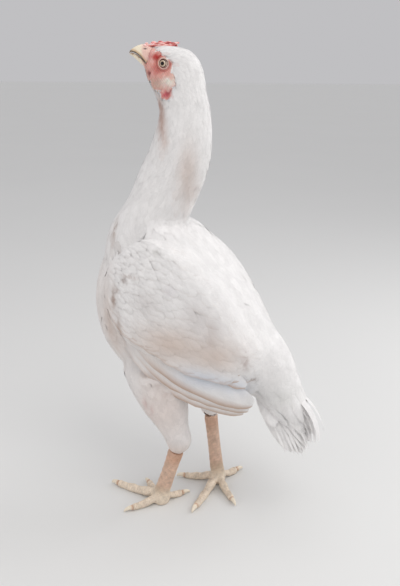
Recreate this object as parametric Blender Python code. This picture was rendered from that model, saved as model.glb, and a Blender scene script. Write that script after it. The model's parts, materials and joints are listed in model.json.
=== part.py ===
"""A white Aseel fowl, standing with its head turned and raised, at life size, in metres.

The bird faces -Y, its left side is +X, and its toes stand on z = 0.
The trunk, the neck with the head, the beak and each leg are modelled whole and parted with thin cuts.
"""

import math

import bmesh
import bpy
import numpy as np
from mathutils import Matrix, Vector

# The middle of the bird's plan, which becomes the origin, and the gap between nodes that touch
CENTRE = Vector((-0.0003, 0.0276, 0.0))
SEAM = 0.0003
SHARP_ANGLE = math.radians(40)

# The trunk: its axis rises towards the breast, and a station is
# (distance forward along the axis, height of the back, height of the belly, half width)
TRUNK_CENTRE = Vector((0.0, 0.0, 0.265))
TRUNK_PITCH = math.radians(30)
TRUNK_FULLNESS = 2.25
TRUNK_RINGS, TRUNK_SIDES = 22, 22
TRUNK = (
    (-0.152, 0.030, -0.004, 0.012),
    (-0.143, 0.036, -0.014, 0.024),
    (-0.122, 0.048, -0.032, 0.036),
    (-0.090, 0.059, -0.060, 0.047),
    (-0.050, 0.077, -0.086, 0.058),
    (-0.010, 0.087, -0.100, 0.064),
    (0.030, 0.085, -0.106, 0.066),
    (0.070, 0.077, -0.095, 0.063),
    (0.100, 0.066, -0.071, 0.053),
    (0.124, 0.050, -0.036, 0.035),
    (0.135, 0.034, -0.008, 0.016),
    (0.138, 0.022, 0.004, 0.006),
)

# The mantle is the same form as the folded wings carry it on, boxier and longer behind
MANTLE_FULLNESS = 3.4
MANTLE = (
    (-0.170, 0.028, -0.048, 0.038),
    (-0.130, 0.040, -0.062, 0.048),
    (-0.090, 0.052, -0.076, 0.057),
    (-0.050, 0.070, -0.089, 0.064),
    (-0.010, 0.085, -0.098, 0.068),
    (0.030, 0.096, -0.103, 0.070),
    (0.070, 0.105, -0.092, 0.067),
    (0.105, 0.092, -0.066, 0.057),
    (0.135, 0.060, -0.032, 0.038),
)

# The neck and the head are one column of level or tilted sections, from the crop to the crown: (middle y,
# middle z, tilt of the section, half length, half width, narrowing to the front, turn), angles in degrees
COLUMN_SIDES, COLUMN_RINGS = 28, 38
COLUMN_CROWDING = 0.40
COLUMN = (
    (-0.070, 0.318, 40, 0.054, 0.051, 0.00, 0),
    (-0.061, 0.358, 34, 0.050, 0.047, 0.00, 0),
    (-0.0425, 0.400, 30, 0.0405, 0.0390, 0.00, 0),
    (-0.0255, 0.437, 27, 0.0405, 0.0335, 0.00, 0),
    (-0.0105, 0.470, 15, 0.0385, 0.0300, 0.00, 4),
    (-0.0045, 0.500, 4, 0.0345, 0.0270, 0.00, 12),
    (-0.0025, 0.524, 0, 0.0305, 0.0240, 0.02, 20),
    (-0.0075, 0.545, 0, 0.0305, 0.0220, 0.08, 22),
    (-0.0125, 0.560, 0, 0.0335, 0.0220, 0.16, 22),
    (-0.0160, 0.574, 0, 0.0335, 0.0208, 0.26, 22),
    (-0.0190, 0.585, 0, 0.0300, 0.0185, 0.30, 22),
    (-0.0220, 0.592, 0, 0.0245, 0.0140, 0.30, 22),
    (-0.0260, 0.5955, 0, 0.0160, 0.0085, 0.30, 22),
    (-0.0280, 0.5968, 0, 0.0070, 0.0035, 0.30, 22),
)
HEAD_CUT = Vector((0.0, -0.003, 0.529))
HEAD_CUT_TILT, HEAD_CUT_SIZE = math.radians(16), 0.10
NECK_CUT = Vector((0.0, -0.052, 0.383))
NECK_CUT_TILT, NECK_CUT_SIZE = math.radians(8), 0.20

# The head's own frame: millimetres forward, up and to its left from the top of the neck
MM = 0.001
HEAD_FOOT = Vector((0.0, -0.003, 0.545))
HEAD_TURN = math.radians(22)
EYE_AT = (23.0, 32.5, 14.2)
EYE_RADIUS, EYE_SIDES = 6.3, 12
LID_THICKNESS, LID_SIDES = 2.1, 14
EYE_OPENING, EYE_OPENING_SIDES, EYE_OPENING_REACH = (5.4, 4.7), 16, 16.0
# Swells and hollows of the bare face: (forward, up, half length, half height, height)
FACE_SWELLS = (
    (26.0, 42.5, 15.0, 6.5, 1.9),
    (40.0, 41.0, 7.0, 7.5, 0.9),
    (33.5, 34.0, 5.0, 5.0, -0.9),
    (40.5, 30.0, 7.5, 7.5, 1.7),
    (30.0, 19.0, 12.0, 8.5, 1.9),
    (18.5, 17.5, 7.5, 7.0, 1.0),
    (26.5, 4.0, 8.0, 9.0, 1.2),
)
# The ear lobe and the dewlap's fold: (forward, up, half length, half height, height above the face)
FACE_FOLDS = (
    (14.0, 8.5, 6.8, 8.0, 1.5),
    (22.0, -4.0, 5.4, 8.0, 1.8),
)
FOLD_HALF_DEPTH, FOLD_SIDES = 5.5, 12

# The beak, by distance forward: (culmen, mouth line, underside, half width)
BEAK_SIDES, BEAK_RINGS, BEAK_WIDEST = 14, 11, 0.3
BEAK = (
    (36.0, 52.6, 29.5, 25.0, 7.6),
    (41.0, 53.6, 31.4, 26.2, 8.0),
    (45.6, 53.9, 34.9, 28.6, 7.4),
    (50.0, 53.2, 39.3, 32.2, 6.2),
    (54.5, 51.6, 42.8, 36.4, 4.8),
    (59.0, 49.0, 44.6, 40.2, 3.2),
    (61.6, 46.8, 44.2, 41.8, 1.9),
    (63.0, 45.0, 43.4, 42.4, 0.7),
)
MOUTH_GAP, MOUTH_HALF_WIDTH = 0.7, 12.0
MOUTH_BACK, MOUTH_PAST_TIP = (30.0, 27.3), (66.0, 42.0)
NOSTRIL_AT, NOSTRIL_SIZE, NOSTRIL_SIDES = (44.6, 47.6, 7.0), (2.2, 1.0, 1.7), 8

# The pea comb: three rows of knobs on a low base, the middle row the tallest
COMB_BASE_AT, COMB_BASE_SIZE, COMB_BASE_SIDES = (27.0, 51.6, 0.0), (20.0, 3.4, 6.2), 12
COMB_FRONT, COMB_BACK, COMB_STAGGER = 43.0, 10.5, 1.5
COMB_HEIGHT, COMB_ARCH, COMB_MIDDLE_RISE, COMB_SIDE_RISE = 52.6, 1.8, 1.6, -0.4
COMB_ROW_SPREAD, COMB_ROW_TAPER = 4.3, 0.25
COMB_KNOBS, COMB_KNOB_SIDES = 5, 6
COMB_KNOB_SIZE, COMB_KNOB_SHAPE = 2.9, Vector((1.15, 1.40, 0.85))
COMB_KNOB_LEAST, COMB_KNOB_SWELL, COMB_MIDDLE_SHARE, COMB_SIDE_SHARE = 0.80, 0.35, 1.12, 0.92

# Each leg: the thigh by (x, y, z, half length, half width), then the hock, the ankle and the toes' tips
THIGH_RINGS, THIGH_SIDES = 12, 16
LEFT_THIGH = (
    (0.030, -0.034, 0.240, 0.032, 0.014),
    (0.040, -0.031, 0.205, 0.046, 0.025),
    (0.0415, -0.025, 0.176, 0.041, 0.0245),
    (0.0420, -0.0165, 0.150, 0.033, 0.0225),
    (0.0420, -0.0075, 0.130, 0.0235, 0.0190),
    (0.0420, 0.0010, 0.114, 0.0200, 0.0165),
    (0.0420, 0.0030, 0.102, 0.0165, 0.0145),
    (0.0415, 0.0018, 0.094, 0.0132, 0.0125),
)
RIGHT_THIGH = (
    (-0.030, -0.026, 0.240, 0.032, 0.014),
    (-0.040, -0.021, 0.205, 0.046, 0.025),
    (-0.0430, -0.013, 0.178, 0.040, 0.0245),
    (-0.0460, -0.003, 0.154, 0.030, 0.0225),
    (-0.0475, 0.0055, 0.134, 0.0215, 0.0190),
    (-0.0480, 0.0105, 0.124, 0.0175, 0.0165),
    (-0.0475, 0.0125, 0.115, 0.0150, 0.0150),
    (-0.0470, 0.0130, 0.107, 0.0125, 0.0128),
)
LEFT_ANKLE = Vector((0.0370, -0.0265, 0.021))
RIGHT_ANKLE = Vector((-0.0370, 0.0290, 0.021))
LEFT_FRONT, RIGHT_FRONT = Vector((0.1, -1, 0)), Vector((1, -0.25, 0))
SHANK_SIDES, SHANK_SCUTES = 10, 9
SHANK_HALF_LENGTH, SHANK_HALF_WIDTH = 0.0108, 0.0092
THIGH_CUT_BELOW_HOCK, FOOT_CUT_ABOVE_ANKLE, LEG_CUT_SIZE = 0.0125, Vector((0, 0, 0.0045)), 0.05
SCUTE_STEP, SCUTE_EDGE = 0.0007, 0.02
SHANK_WAIST, SHANK_INTO_FOOT = 0.12, Vector((0, 0, -0.008))

# Toes: (name, tip x, tip y, root radius, tip radius, number of joints), with the claw beyond the tip
LEFT_TOES = (
    ("inner", 0.0100, -0.0590, 0.0062, 0.0046, 2),
    ("middle", 0.0275, -0.0990, 0.0068, 0.0048, 3),
    ("outer", 0.0690, -0.0550, 0.0062, 0.0044, 3),
    ("hind", 0.0140, -0.0060, 0.0056, 0.0044, 1),
)
RIGHT_TOES = (
    ("inner", -0.0000, 0.0640, 0.0062, 0.0044, 2),
    ("middle", 0.0330, 0.0240, 0.0068, 0.0048, 3),
    ("outer", -0.0270, -0.0180, 0.0062, 0.0044, 3),
    ("hind", -0.0680, 0.0470, 0.0058, 0.0046, 1),
)
TOE_SIDES, TOE_SCUTE_LENGTH = 8, 0.0082
TOE_LIFT, HIND_TOE_LIFT = 0.0050, 0.0080
TOE_SETTLING, TOE_SOLE, TOE_PAD_SWELL, TOE_SCUTE_STEP = 1.7, 0.86, 0.10, 0.00056
CLAW_RINGS, CLAW_SIDES = 5, 7
CLAW_LENGTH, CLAW_BEND, CLAW_DROP, CLAW_ARCH, CLAW_LEAN = 0.0130, 1.25, 0.0030, 0.0012, 0.9
CLAW_ROOT_HEIGHT, CLAW_ROOT_SIZE, CLAW_TAPER, CLAW_TIP_SIZE, CLAW_WIDTH = 0.95, 0.84, 0.62, 0.0004, 0.86
# The ball of the foot: (height, share of its radius)
PAD_RADIUS, PAD_SIDES = 0.0118, 14
PAD = ((0.0, 0.80), (0.0015, 0.95), (0.006, 1.0), (0.011, 0.98), (0.017, 0.88), (0.024, 0.74))

# Wings: a plate over the mantle, thick at the shoulder, and vanes by tier
WING_PLATE_MIDDLE, WING_PLATE_SPAN = 0.007, 0.105
WING_PLATE_ANGLE, WING_PLATE_SWEEP, WING_PLATE_SKEW = 19, 38, -12
WING_PLATE_EDGE, WING_PLATE_DEPTH = 0.0008, 0.0030
WING_PLATE_REAR_HEIGHT, WING_PLATE_SHOULDER_HEIGHT = 0.0028, 0.0066
WING_PLATE_SIDES, WING_PLATE_RINGS = 18, 8
WING_PLATE_SHOULDER_START, WING_PLATE_END_SPREAD = -0.5, 0.3
# Tier: (count, half width, then each from the lowest vane to the highest: root forward, root angle,
#        tip forward, tip angle, bow of the angle), with the lift at the root and at the tip last
WING_TIERS = (
    (6, 0.0098, (0.022, -0.012), (-11, 6), (-0.111, -0.133), (-36, -3), (-9, -3), (0.0000, 0.0014)),
    (7, 0.0122, (0.000, -0.020), (-6, 49), (-0.133, -0.106), (-1, 45), (-3, 2), (0.0006, 0.0034)),
    (6, 0.0130, (0.034, 0.012), (-9, 52), (-0.072, -0.052), (-5, 51), (-2, 1), (0.0016, 0.0052)),
)
VANE_THICKNESS, VANE_SHAFT_RISE = 0.0008, 0.0003
VANE_RINGS, TAIL_VANE_RINGS = 5, 4
VANE_STATIONS, VANE_WIDTHS = (0.0, 0.2, 0.4, 0.8, 1.0), (0.45, 0.80, 1.0, 0.95, 0.40)
VANE_TILT, TAIL_VANE_TILT = math.radians(7), math.radians(9)

# The tail: a core that leaves the trunk, and pairs of vanes from the middle pair, on top, to the lowest
TAIL_CORE = (
    (0.090, 0.222, 0.018, 0.018),
    (0.112, 0.206, 0.030, 0.031),
    (0.128, 0.188, 0.029, 0.028),
    (0.137, 0.170, 0.024, 0.022),
    (0.143, 0.154, 0.016, 0.014),
    (0.146, 0.145, 0.006, 0.005),
)
TAIL_CORE_TILT = math.radians(-38)
TAIL_CORE_RINGS, TAIL_CORE_SIDES = 11, 14
TAIL_RECTRICES, TAIL_COVERTS = 7, 3
RECTRIX_ROOTS = Vector((0.004, 0.116, 0.204)), Vector((0.017, 0.105, 0.178))
RECTRIX_TIPS = Vector((0.005, 0.173, 0.146)), Vector((0.025, 0.139, 0.124))
COVERT_ROOTS = Vector((0.005, 0.112, 0.210)), Vector((0.016, 0.102, 0.184))
COVERT_TIPS = Vector((0.008, 0.150, 0.168)), Vector((0.022, 0.126, 0.147))
SICKLE_ROOT, SICKLE_MIDDLE, SICKLE_TIP = (
    Vector((0.004, 0.128, 0.196)),
    Vector((0.006, 0.175, 0.174)),
    Vector((0.013, 0.180, 0.130)),
)
RECTRIX_HALF_WIDTH, COVERT_HALF_WIDTH, SICKLE_HALF_WIDTH = 0.0080, 0.0090, 0.0044
TAIL_COVERT_LIFT, TAIL_TIP_BOW = 0.0026, Vector((0, 0.0018, -0.009))
TAIL_OUT_ON_TOP, TAIL_OUT_LOWEST = Vector((0.30, 0.80, 0.75)), Vector((0.95, 0.25, 0.15))


def clear_scene():
    for leftover in list(bpy.data.objects):
        bpy.data.objects.remove(leftover)


def collection(name):
    made = bpy.data.collections.new(name)
    bpy.context.scene.collection.children.link(made)
    return made


def finish_material(name, colour, roughness):
    made = bpy.data.materials.new(name)
    made.use_nodes = True
    shader = made.node_tree.nodes["Principled BSDF"]
    shader.inputs["Base Color"].default_value = (*colour, 1)
    shader.inputs["Roughness"].default_value = roughness
    shader.inputs["Metallic"].default_value = 0
    return made


def object_from(name, made):
    """An object from a bmesh, with its faces pointing out."""
    bmesh.ops.recalc_face_normals(made, faces=made.faces)
    if made.calc_volume(signed=True) < 0:
        bmesh.ops.reverse_faces(made, faces=made.faces)
    mesh = bpy.data.meshes.new(name)
    made.to_mesh(mesh)
    made.free()
    thing = bpy.data.objects.new(name, mesh)
    BIRD.objects.link(thing)
    return thing


def drop(*things):
    for thing in things:
        bpy.data.objects.remove(thing)


def row_at(stations, where):
    """The stations' other columns at this value of the first, on a smooth curve through them."""
    rows = np.array(stations, float)
    keys = rows[:, 0]
    slopes = np.gradient(rows, keys, axis=0)
    i = int(np.clip(np.searchsorted(keys, where) - 1, 0, len(keys) - 2))
    span = keys[i + 1] - keys[i]
    t = (where - keys[i]) / span
    near, far = (1 + 2 * t) * (1 - t) ** 2, t * t * (3 - 2 * t)
    leave, arrive = t * (1 - t) ** 2 * span, t * t * (t - 1) * span
    return (near * rows[i] + far * rows[i + 1] + leave * slopes[i] + arrive * slopes[i + 1])[1:]


def mix(one, other, share):
    return one + (other - one) * share


def rows_along(stations, count):
    """This many rows, evenly spread over the stations on a smooth curve."""
    numbered = [(i, *row) for i, row in enumerate(stations)]
    return [row_at(numbered, u) for u in np.linspace(0, len(stations) - 1, count)]


def loft(name, rings):
    """A closed mesh through rings of points, with a flat cap at each end."""
    made = bmesh.new()
    loops = [[made.verts.new(point) for point in ring] for ring in rings]
    for lower, upper in zip(loops, loops[1:]):
        for i in range(len(lower)):
            j = (i + 1) % len(lower)
            made.faces.new((lower[i], lower[j], upper[j], upper[i]))
    made.faces.new(loops[0][::-1])
    made.faces.new(loops[-1])
    return object_from(name, made)


def bulb(name, place, size, sides, turn=0.0):
    """An ellipsoid by its middle and half sizes in the head's millimetres, turned about the vertical."""
    made = bmesh.new()
    bmesh.ops.create_uvsphere(made, u_segments=sides, v_segments=sides * 2 // 3, radius=1)
    level = Matrix.Rotation(turn, 3, "Z")
    for vertex in made.verts:
        x, y, z = vertex.co
        forward, left, up = level @ Vector((size[0] * x, size[2] * y, size[1] * z))
        vertex.co = head_point(place[0] + forward, place[1] + up, place[2] + left)
    return object_from(name, made)


def grown(thing, by=SEAM):
    """A copy of the object with its surface moved outwards, to cut its neighbours with."""
    made = bmesh.new()
    made.from_mesh(thing.data)
    made.normal_update()
    for vertex, normal in [(v, v.normal.copy()) for v in made.verts]:
        vertex.co += normal * by
    return object_from(thing.name + "_cutter", made)


def apply_modifiers(thing):
    graph = bpy.context.evaluated_depsgraph_get()
    mesh = bpy.data.meshes.new_from_object(thing.evaluated_get(graph))
    thing.modifiers.clear()
    thing.data = mesh


def cut(thing, cutter, solver="EXACT"):
    modifier = thing.modifiers.new("cut", "BOOLEAN")
    modifier.operation = "DIFFERENCE"
    modifier.solver = solver
    modifier.object = cutter
    apply_modifiers(thing)
    drop(cutter)
    return thing


def fuse(core, pieces, solver="MANIFOLD"):
    """Joins the pieces to the core by one union, and keeps the largest closed surface."""
    group = collection("pieces")
    for piece in pieces:
        BIRD.objects.unlink(piece)
        group.objects.link(piece)
    modifier = core.modifiers.new("join", "BOOLEAN")
    modifier.operation = "UNION"
    modifier.solver = solver
    modifier.operand_type = "COLLECTION"
    modifier.collection = group
    apply_modifiers(core)
    drop(*group.objects)
    bpy.data.collections.remove(group)
    return keep_largest(core)


def islands(made):
    """The mesh's vertices, grouped by connected surface."""
    left, found = set(made.verts), []
    while left:
        start = left.pop()
        group, border = {start}, [start]
        while border:
            for edge in border.pop().link_edges:
                for vertex in edge.verts:
                    if vertex in left:
                        left.remove(vertex)
                        group.add(vertex)
                        border.append(vertex)
        found.append(group)
    return found


def volume_of(group):
    """The volume inside one connected surface."""
    faces = {face for vertex in group for face in vertex.link_faces}
    total = 0.0
    for face in faces:
        first = face.verts[0].co
        for one, two in zip(face.verts[1:], face.verts[2:]):
            total += first.dot(one.co.cross(two.co)) / 6
    return total


def keep_largest(thing):
    made = bmesh.new()
    made.from_mesh(thing.data)
    groups = sorted(islands(made), key=volume_of)
    extra = [vertex for group in groups[:-1] for vertex in group]
    bmesh.ops.delete(made, geom=extra, context="VERTS")
    made.to_mesh(thing.data)
    made.free()
    return thing


def two_halves(thing, way, names):
    """Splits an object that a cut has parted into its two largest pieces, in their order along the way."""
    made = bmesh.new()
    made.from_mesh(thing.data)
    groups = sorted(islands(made), key=volume_of)[-2:]
    order = sorted(groups, key=lambda group: sum(v.co.dot(way) for v in group) / len(group))
    kept = [{vertex.index for vertex in group} for group in order]
    mesh = thing.data
    drop(thing)
    halves = []
    for name, keep in zip(names, kept):
        piece = bmesh.new()
        piece.from_mesh(mesh)
        extra = [vertex for vertex in piece.verts if vertex.index not in keep]
        bmesh.ops.delete(piece, geom=extra, context="VERTS")
        halves.append(object_from(name, piece))
    made.free()
    return halves


def part_by_slab(thing, middle, way, size, names):
    """Cuts a thin slab out of the object, square to the way and of this size, and splits it there."""
    bpy.ops.mesh.primitive_cube_add(size=1)
    slab = bpy.context.object
    turn = way.to_track_quat("Z", "Y").to_matrix().to_4x4()
    slab.data.transform(Matrix.Translation(middle) @ turn @ Matrix.Diagonal((size, size, SEAM, 1)))
    cut(thing, slab)
    return two_halves(thing, way, names)


def trunk_to_world(forward, height, side):
    """A point by its distance along the trunk's axis, above it and to the bird's left."""
    slope, rise = math.cos(TRUNK_PITCH), math.sin(TRUNK_PITCH)
    return TRUNK_CENTRE + Vector((side, height * rise - forward * slope, forward * rise + height * slope))


def section_point(stations, fullness, forward, angle):
    """A point on the trunk or the mantle; angle 0 is the left side and a right angle is the back."""
    back, belly, half_width = row_at(stations, forward)
    middle, half_height = (back + belly) / 2, (back - belly) / 2
    across, up = math.cos(angle), math.sin(angle)
    reach = (abs(across) ** fullness + abs(up) ** fullness) ** (-1 / fullness)
    return trunk_to_world(forward, middle + half_height * reach * up, half_width * reach * across)


def make_trunk():
    rings = []
    for turn in np.linspace(0, math.pi, TRUNK_RINGS):
        share = (1 - math.cos(turn)) / 2
        forward = TRUNK[0][0] + share * (TRUNK[-1][0] - TRUNK[0][0])
        angles = np.linspace(0, 2 * math.pi, TRUNK_SIDES, endpoint=False)
        rings.append([section_point(TRUNK, TRUNK_FULLNESS, forward, angle) for angle in angles])
    return loft("torso", rings)


def make_column():
    """The neck and head: sections that tilt up the neck, then lie level and turn with the head."""
    rings = []
    even = np.linspace(0, 2 * math.pi, COLUMN_SIDES, endpoint=False)
    # The points stand closer together towards the face, where the form is finest
    angles = even - COLUMN_CROWDING * np.sin(even)
    for y, z, tilt, half_length, half_width, narrowing, turn in rows_along(COLUMN, COLUMN_RINGS):
        tilt, turn = math.radians(tilt), math.radians(turn)
        ahead = Vector((math.sin(turn) * math.cos(tilt), -math.cos(turn) * math.cos(tilt), math.sin(tilt)))
        left = Vector((math.cos(turn), math.sin(turn), 0))
        # The head's stations are measured forward of the turning axis, so their middles turn too
        reach = HEAD_FOOT.y - y
        if z > HEAD_CUT.z:
            middle = Vector((reach * math.sin(turn), HEAD_FOOT.y - reach * math.cos(turn), z))
        else:
            middle = Vector((0, y, z))
        ring = []
        for angle in angles:
            along, across = math.cos(angle), math.sin(angle)
            width = half_width * (1 - narrowing * along)
            length = half_length
            if z > HEAD_CUT.z:
                forward, up = (reach + half_length * along) / MM, (z - HEAD_FOOT.z) / MM
                swell = swell_at(forward, up) * MM
                length, width = length + swell, width + swell
            ring.append(middle + ahead * length * along + left * width * across)
        rings.append(ring)
    return loft("column", rings)


def swell_at(forward, up):
    """How far the bare face swells out at a place of the head, in millimetres."""
    total = 0.0
    for middle, height, half_length, half_height, rise in FACE_SWELLS:
        away = math.hypot((forward - middle) / half_length, (up - height) / half_height)
        total += rise * (1 - min(1, away * away)) ** 2
    return total


def head_point(forward, up, left):
    """A point of the head, from millimetres forward, up and to the head's left."""
    ahead = Vector((math.sin(HEAD_TURN), -math.cos(HEAD_TURN), 0))
    aside = Vector((math.cos(HEAD_TURN), math.sin(HEAD_TURN), 0))
    return HEAD_FOOT + (ahead * forward + aside * left + Vector((0, 0, up))) * MM


def head_side(forward, up):
    """How far the side of the head lies from its middle plane, at a place in its millimetres."""
    rows = rows_along(COLUMN, COLUMN_RINGS * 4)
    heights = [row[1] for row in rows]
    y, half_length, half_width, narrowing = (
        float(np.interp(HEAD_FOOT.z + up * MM, heights, [row[i] for row in rows])) for i in (0, 3, 4, 5)
    )
    along = (forward * MM - (HEAD_FOOT.y - y)) / half_length
    side = half_width * (1 - narrowing * along) * math.sqrt(max(0, 1 - along * along)) / MM
    return side + swell_at(forward, up)


def make_beak():
    """The whole beak: sections across it from inside the face to the tip."""
    rings = []
    for forward, culmen, mouth, under, half_width in rows_along(BEAK, BEAK_RINGS):
        middle = mix(mouth, culmen, BEAK_WIDEST)
        ring = []
        for angle in np.linspace(0, 2 * math.pi, BEAK_SIDES, endpoint=False):
            rise = math.sin(angle)
            height = (culmen - middle) if rise > 0 else (middle - under)
            ring.append(head_point(forward, middle + height * rise, half_width * math.cos(angle)))
        rings.append(ring)
    return loft("beak", rings)


def mouth_cutter():
    """A thin curved slab along the mouth line, from behind the beak's root to past its tip."""
    half, wide = MOUTH_GAP / 2, MOUTH_HALF_WIDTH
    rings = []
    for forward, mouth in (MOUTH_BACK, *((row[0], row[2]) for row in BEAK), MOUTH_PAST_TIP):
        corners = ((wide, mouth + half), (-wide, mouth + half), (-wide, mouth - half), (wide, mouth - half))
        rings.append([head_point(forward, up, left) for left, up in corners])
    return loft("mouth_cutter", rings)


def make_head(head):
    """Adds the lids and the folds of the bare face to the head, then cuts the eyes' openings."""
    pieces = []
    for side in (1, -1):
        for forward, up, half_length, half_height, proud in FACE_FOLDS:
            side_here = head_side(forward, up)
            slope = math.atan(head_side(forward + 1, up) - side_here)
            place = (forward, up, side * (side_here + proud - FOLD_HALF_DEPTH))
            size = (half_length, half_height, FOLD_HALF_DEPTH)
            pieces.append(bulb("fold", place, size, FOLD_SIDES, side * slope))
        pieces.append(eyeball("lid", side, EYE_RADIUS + LID_THICKNESS, LID_SIDES))
    fuse(head, pieces)
    for side in (1, -1):
        cut(head, eyeball("socket", side, EYE_RADIUS + SEAM / MM, LID_SIDES))
        wide, tall = EYE_OPENING
        rings = []
        for depth in (EYE_AT[2], EYE_AT[2] + EYE_OPENING_REACH):
            ring = []
            for angle in np.linspace(0, 2 * math.pi, EYE_OPENING_SIDES, endpoint=False):
                forward = EYE_AT[0] + wide * math.cos(angle)
                ring.append(head_point(forward, EYE_AT[1] + tall * math.sin(angle), side * depth))
            rings.append(ring)
        cut(head, loft("opening", rings))
    return keep_largest(head)


def eyeball(name, side, radius, sides):
    """A ball about the middle of the left (1) or right (-1) eye."""
    return bulb(name, (EYE_AT[0], EYE_AT[1], side * EYE_AT[2]), (radius, radius, radius), sides)


def make_comb(head_form, beak_form):
    """A low base with a taller middle row of knobs and a row down each side."""
    base = bulb("comb", COMB_BASE_AT, COMB_BASE_SIZE, COMB_BASE_SIDES)
    knobs = []
    for row in (-1, 0, 1):
        for share in np.linspace(0, 1, COMB_KNOBS):
            arch = math.sin(math.pi * share)
            forward = mix(COMB_FRONT, COMB_BACK, share) + COMB_STAGGER * abs(row)
            up = COMB_HEIGHT + COMB_ARCH * arch + (COMB_SIDE_RISE if row else COMB_MIDDLE_RISE)
            left = row * COMB_ROW_SPREAD * (1 - COMB_ROW_TAPER * (1 - arch))
            size = COMB_KNOB_SIZE * (COMB_KNOB_LEAST + COMB_KNOB_SWELL * arch)
            size *= COMB_SIDE_SHARE if row else COMB_MIDDLE_SHARE
            knobs.append(bulb("knob", (forward, up, left), COMB_KNOB_SHAPE * size, COMB_KNOB_SIDES))
    fuse(base, knobs)
    cut(base, grown(head_form))
    cut(base, grown(beak_form))
    return keep_largest(base)


def make_thigh(name, stations):
    rings = []
    for x, y, z, half_length, half_width in rows_along(stations, THIGH_RINGS):
        ring = []
        for angle in np.linspace(0, 2 * math.pi, THIGH_SIDES, endpoint=False):
            ring.append(Vector((x + half_width * math.sin(angle), y - half_length * math.cos(angle), z)))
        rings.append(ring)
    return loft(name, rings)


def scute_rings(path, sides, section, count, height):
    """Rings along a limb where each scute rises towards its lower edge, on the side that faces front."""
    rings = []
    for i in range(count):
        for share, raised in ((SCUTE_EDGE, 0.0), (1 - SCUTE_EDGE, 1.0)):
            t = (i + share) / count
            centre, ahead, aside = path(t)
            half_length, half_width = section(t)
            ring = []
            for angle in np.linspace(0, 2 * math.pi, sides, endpoint=False):
                front = max(0.0, math.cos(angle))
                lift = height * raised * front
                ring.append(
                    centre
                    + ahead * (half_length + lift) * math.cos(angle)
                    + aside * (half_width + lift) * math.sin(angle)
                )
            rings.append(ring)
    return rings


def make_shank(hock, ankle, front):
    """The scaled shank from inside the thigh down into the foot; front is the way its scutes face."""
    down = (ankle - hock).normalized()
    ahead = (front - down * front.dot(down)).normalized()
    aside = down.cross(ahead)

    def path(t):
        return hock.lerp(ankle, t), ahead, aside

    def section(t):
        waist = 1 - SHANK_WAIST * math.sin(math.pi * t)
        return SHANK_HALF_LENGTH * waist, SHANK_HALF_WIDTH * waist

    return loft("shank", scute_rings(path, SHANK_SIDES, section, SHANK_SCUTES, SCUTE_STEP))


def toe_frame(ankle, toe):
    """A toe's root and tip, the level ways along and across it, and the number of its scutes."""
    name, tip_x, tip_y, root_radius, tip_radius, joints = toe
    tip = Vector((tip_x, tip_y, tip_radius))
    root = Vector((ankle.x, ankle.y, root_radius + (HIND_TOE_LIFT if name == "hind" else TOE_LIFT)))
    flat = Vector((tip.x - root.x, tip.y - root.y, 0)).normalized()
    count = max(3, round((tip - root).length / TOE_SCUTE_LENGTH))
    return root, tip, flat, Vector((-flat.y, flat.x, 0)), count


def make_toe(ankle, toe):
    """A toe along the floor: raised scutes on top, a pad under each joint, and a flat sole at z = 0."""
    root_radius, tip_radius, joints = toe[3:]
    root, tip, flat, aside, count = toe_frame(ankle, toe)

    def radius(t):
        pads = 1 + TOE_PAD_SWELL * math.cos(2 * math.pi * joints * t)
        return mix(root_radius, tip_radius, t) * pads

    def path(t):
        centre = root.lerp(tip, t)
        centre.z = mix(root.z, radius(t) * TOE_SOLE, min(1.0, t * TOE_SETTLING))
        return centre, Vector((0, 0, 1)), aside

    def section(t):
        return radius(t), radius(t)

    rings = scute_rings(path, TOE_SIDES, section, count, TOE_SCUTE_STEP)
    for ring in rings:
        for point in ring:
            point.z = max(point.z, 0.0)
    return loft("toe", rings)


def make_claw(name, ankle, toe):
    """A curved claw whose flat root faces the end of its toe."""
    root, tip, flat, aside, count = toe_frame(ankle, toe)
    radius = toe[4]
    end = root.lerp(tip, (count - SCUTE_EDGE) / count)
    start = Vector((end.x, end.y, radius * CLAW_ROOT_HEIGHT)) + flat * SEAM
    rings = []
    for t in np.linspace(0, 1, CLAW_RINGS):
        size = radius * CLAW_ROOT_SIZE * (1 - t) ** CLAW_TAPER + CLAW_TIP_SIZE
        centre = start + flat * CLAW_LENGTH * math.sin(t * CLAW_BEND) / math.sin(CLAW_BEND)
        centre.z += CLAW_ARCH * math.sin(math.pi * t) - CLAW_DROP * t * t
        lean = Vector((0, 0, 1)) * math.cos(t * CLAW_LEAN) + flat * math.sin(t * CLAW_LEAN)
        ring = []
        for angle in np.linspace(0, 2 * math.pi, CLAW_SIDES, endpoint=False):
            point = centre + aside * size * CLAW_WIDTH * math.cos(angle) + lean * size * math.sin(angle)
            point.z = max(point.z, CLAW_TIP_SIZE)
            ring.append(point)
        rings.append(ring)
    return loft(name, rings)


def make_pad(ankle):
    """The ball of the foot, which joins the toes to the shank and stands on a flat sole."""
    rings = []
    for height, share in PAD:
        reach = PAD_RADIUS * share
        ring = []
        for angle in np.linspace(0, 2 * math.pi, PAD_SIDES, endpoint=False):
            x, y = ankle.x + reach * math.cos(angle), ankle.y + reach * math.sin(angle)
            ring.append(Vector((x, y, height)))
        rings.append(ring)
    return loft("pad", rings)


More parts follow.
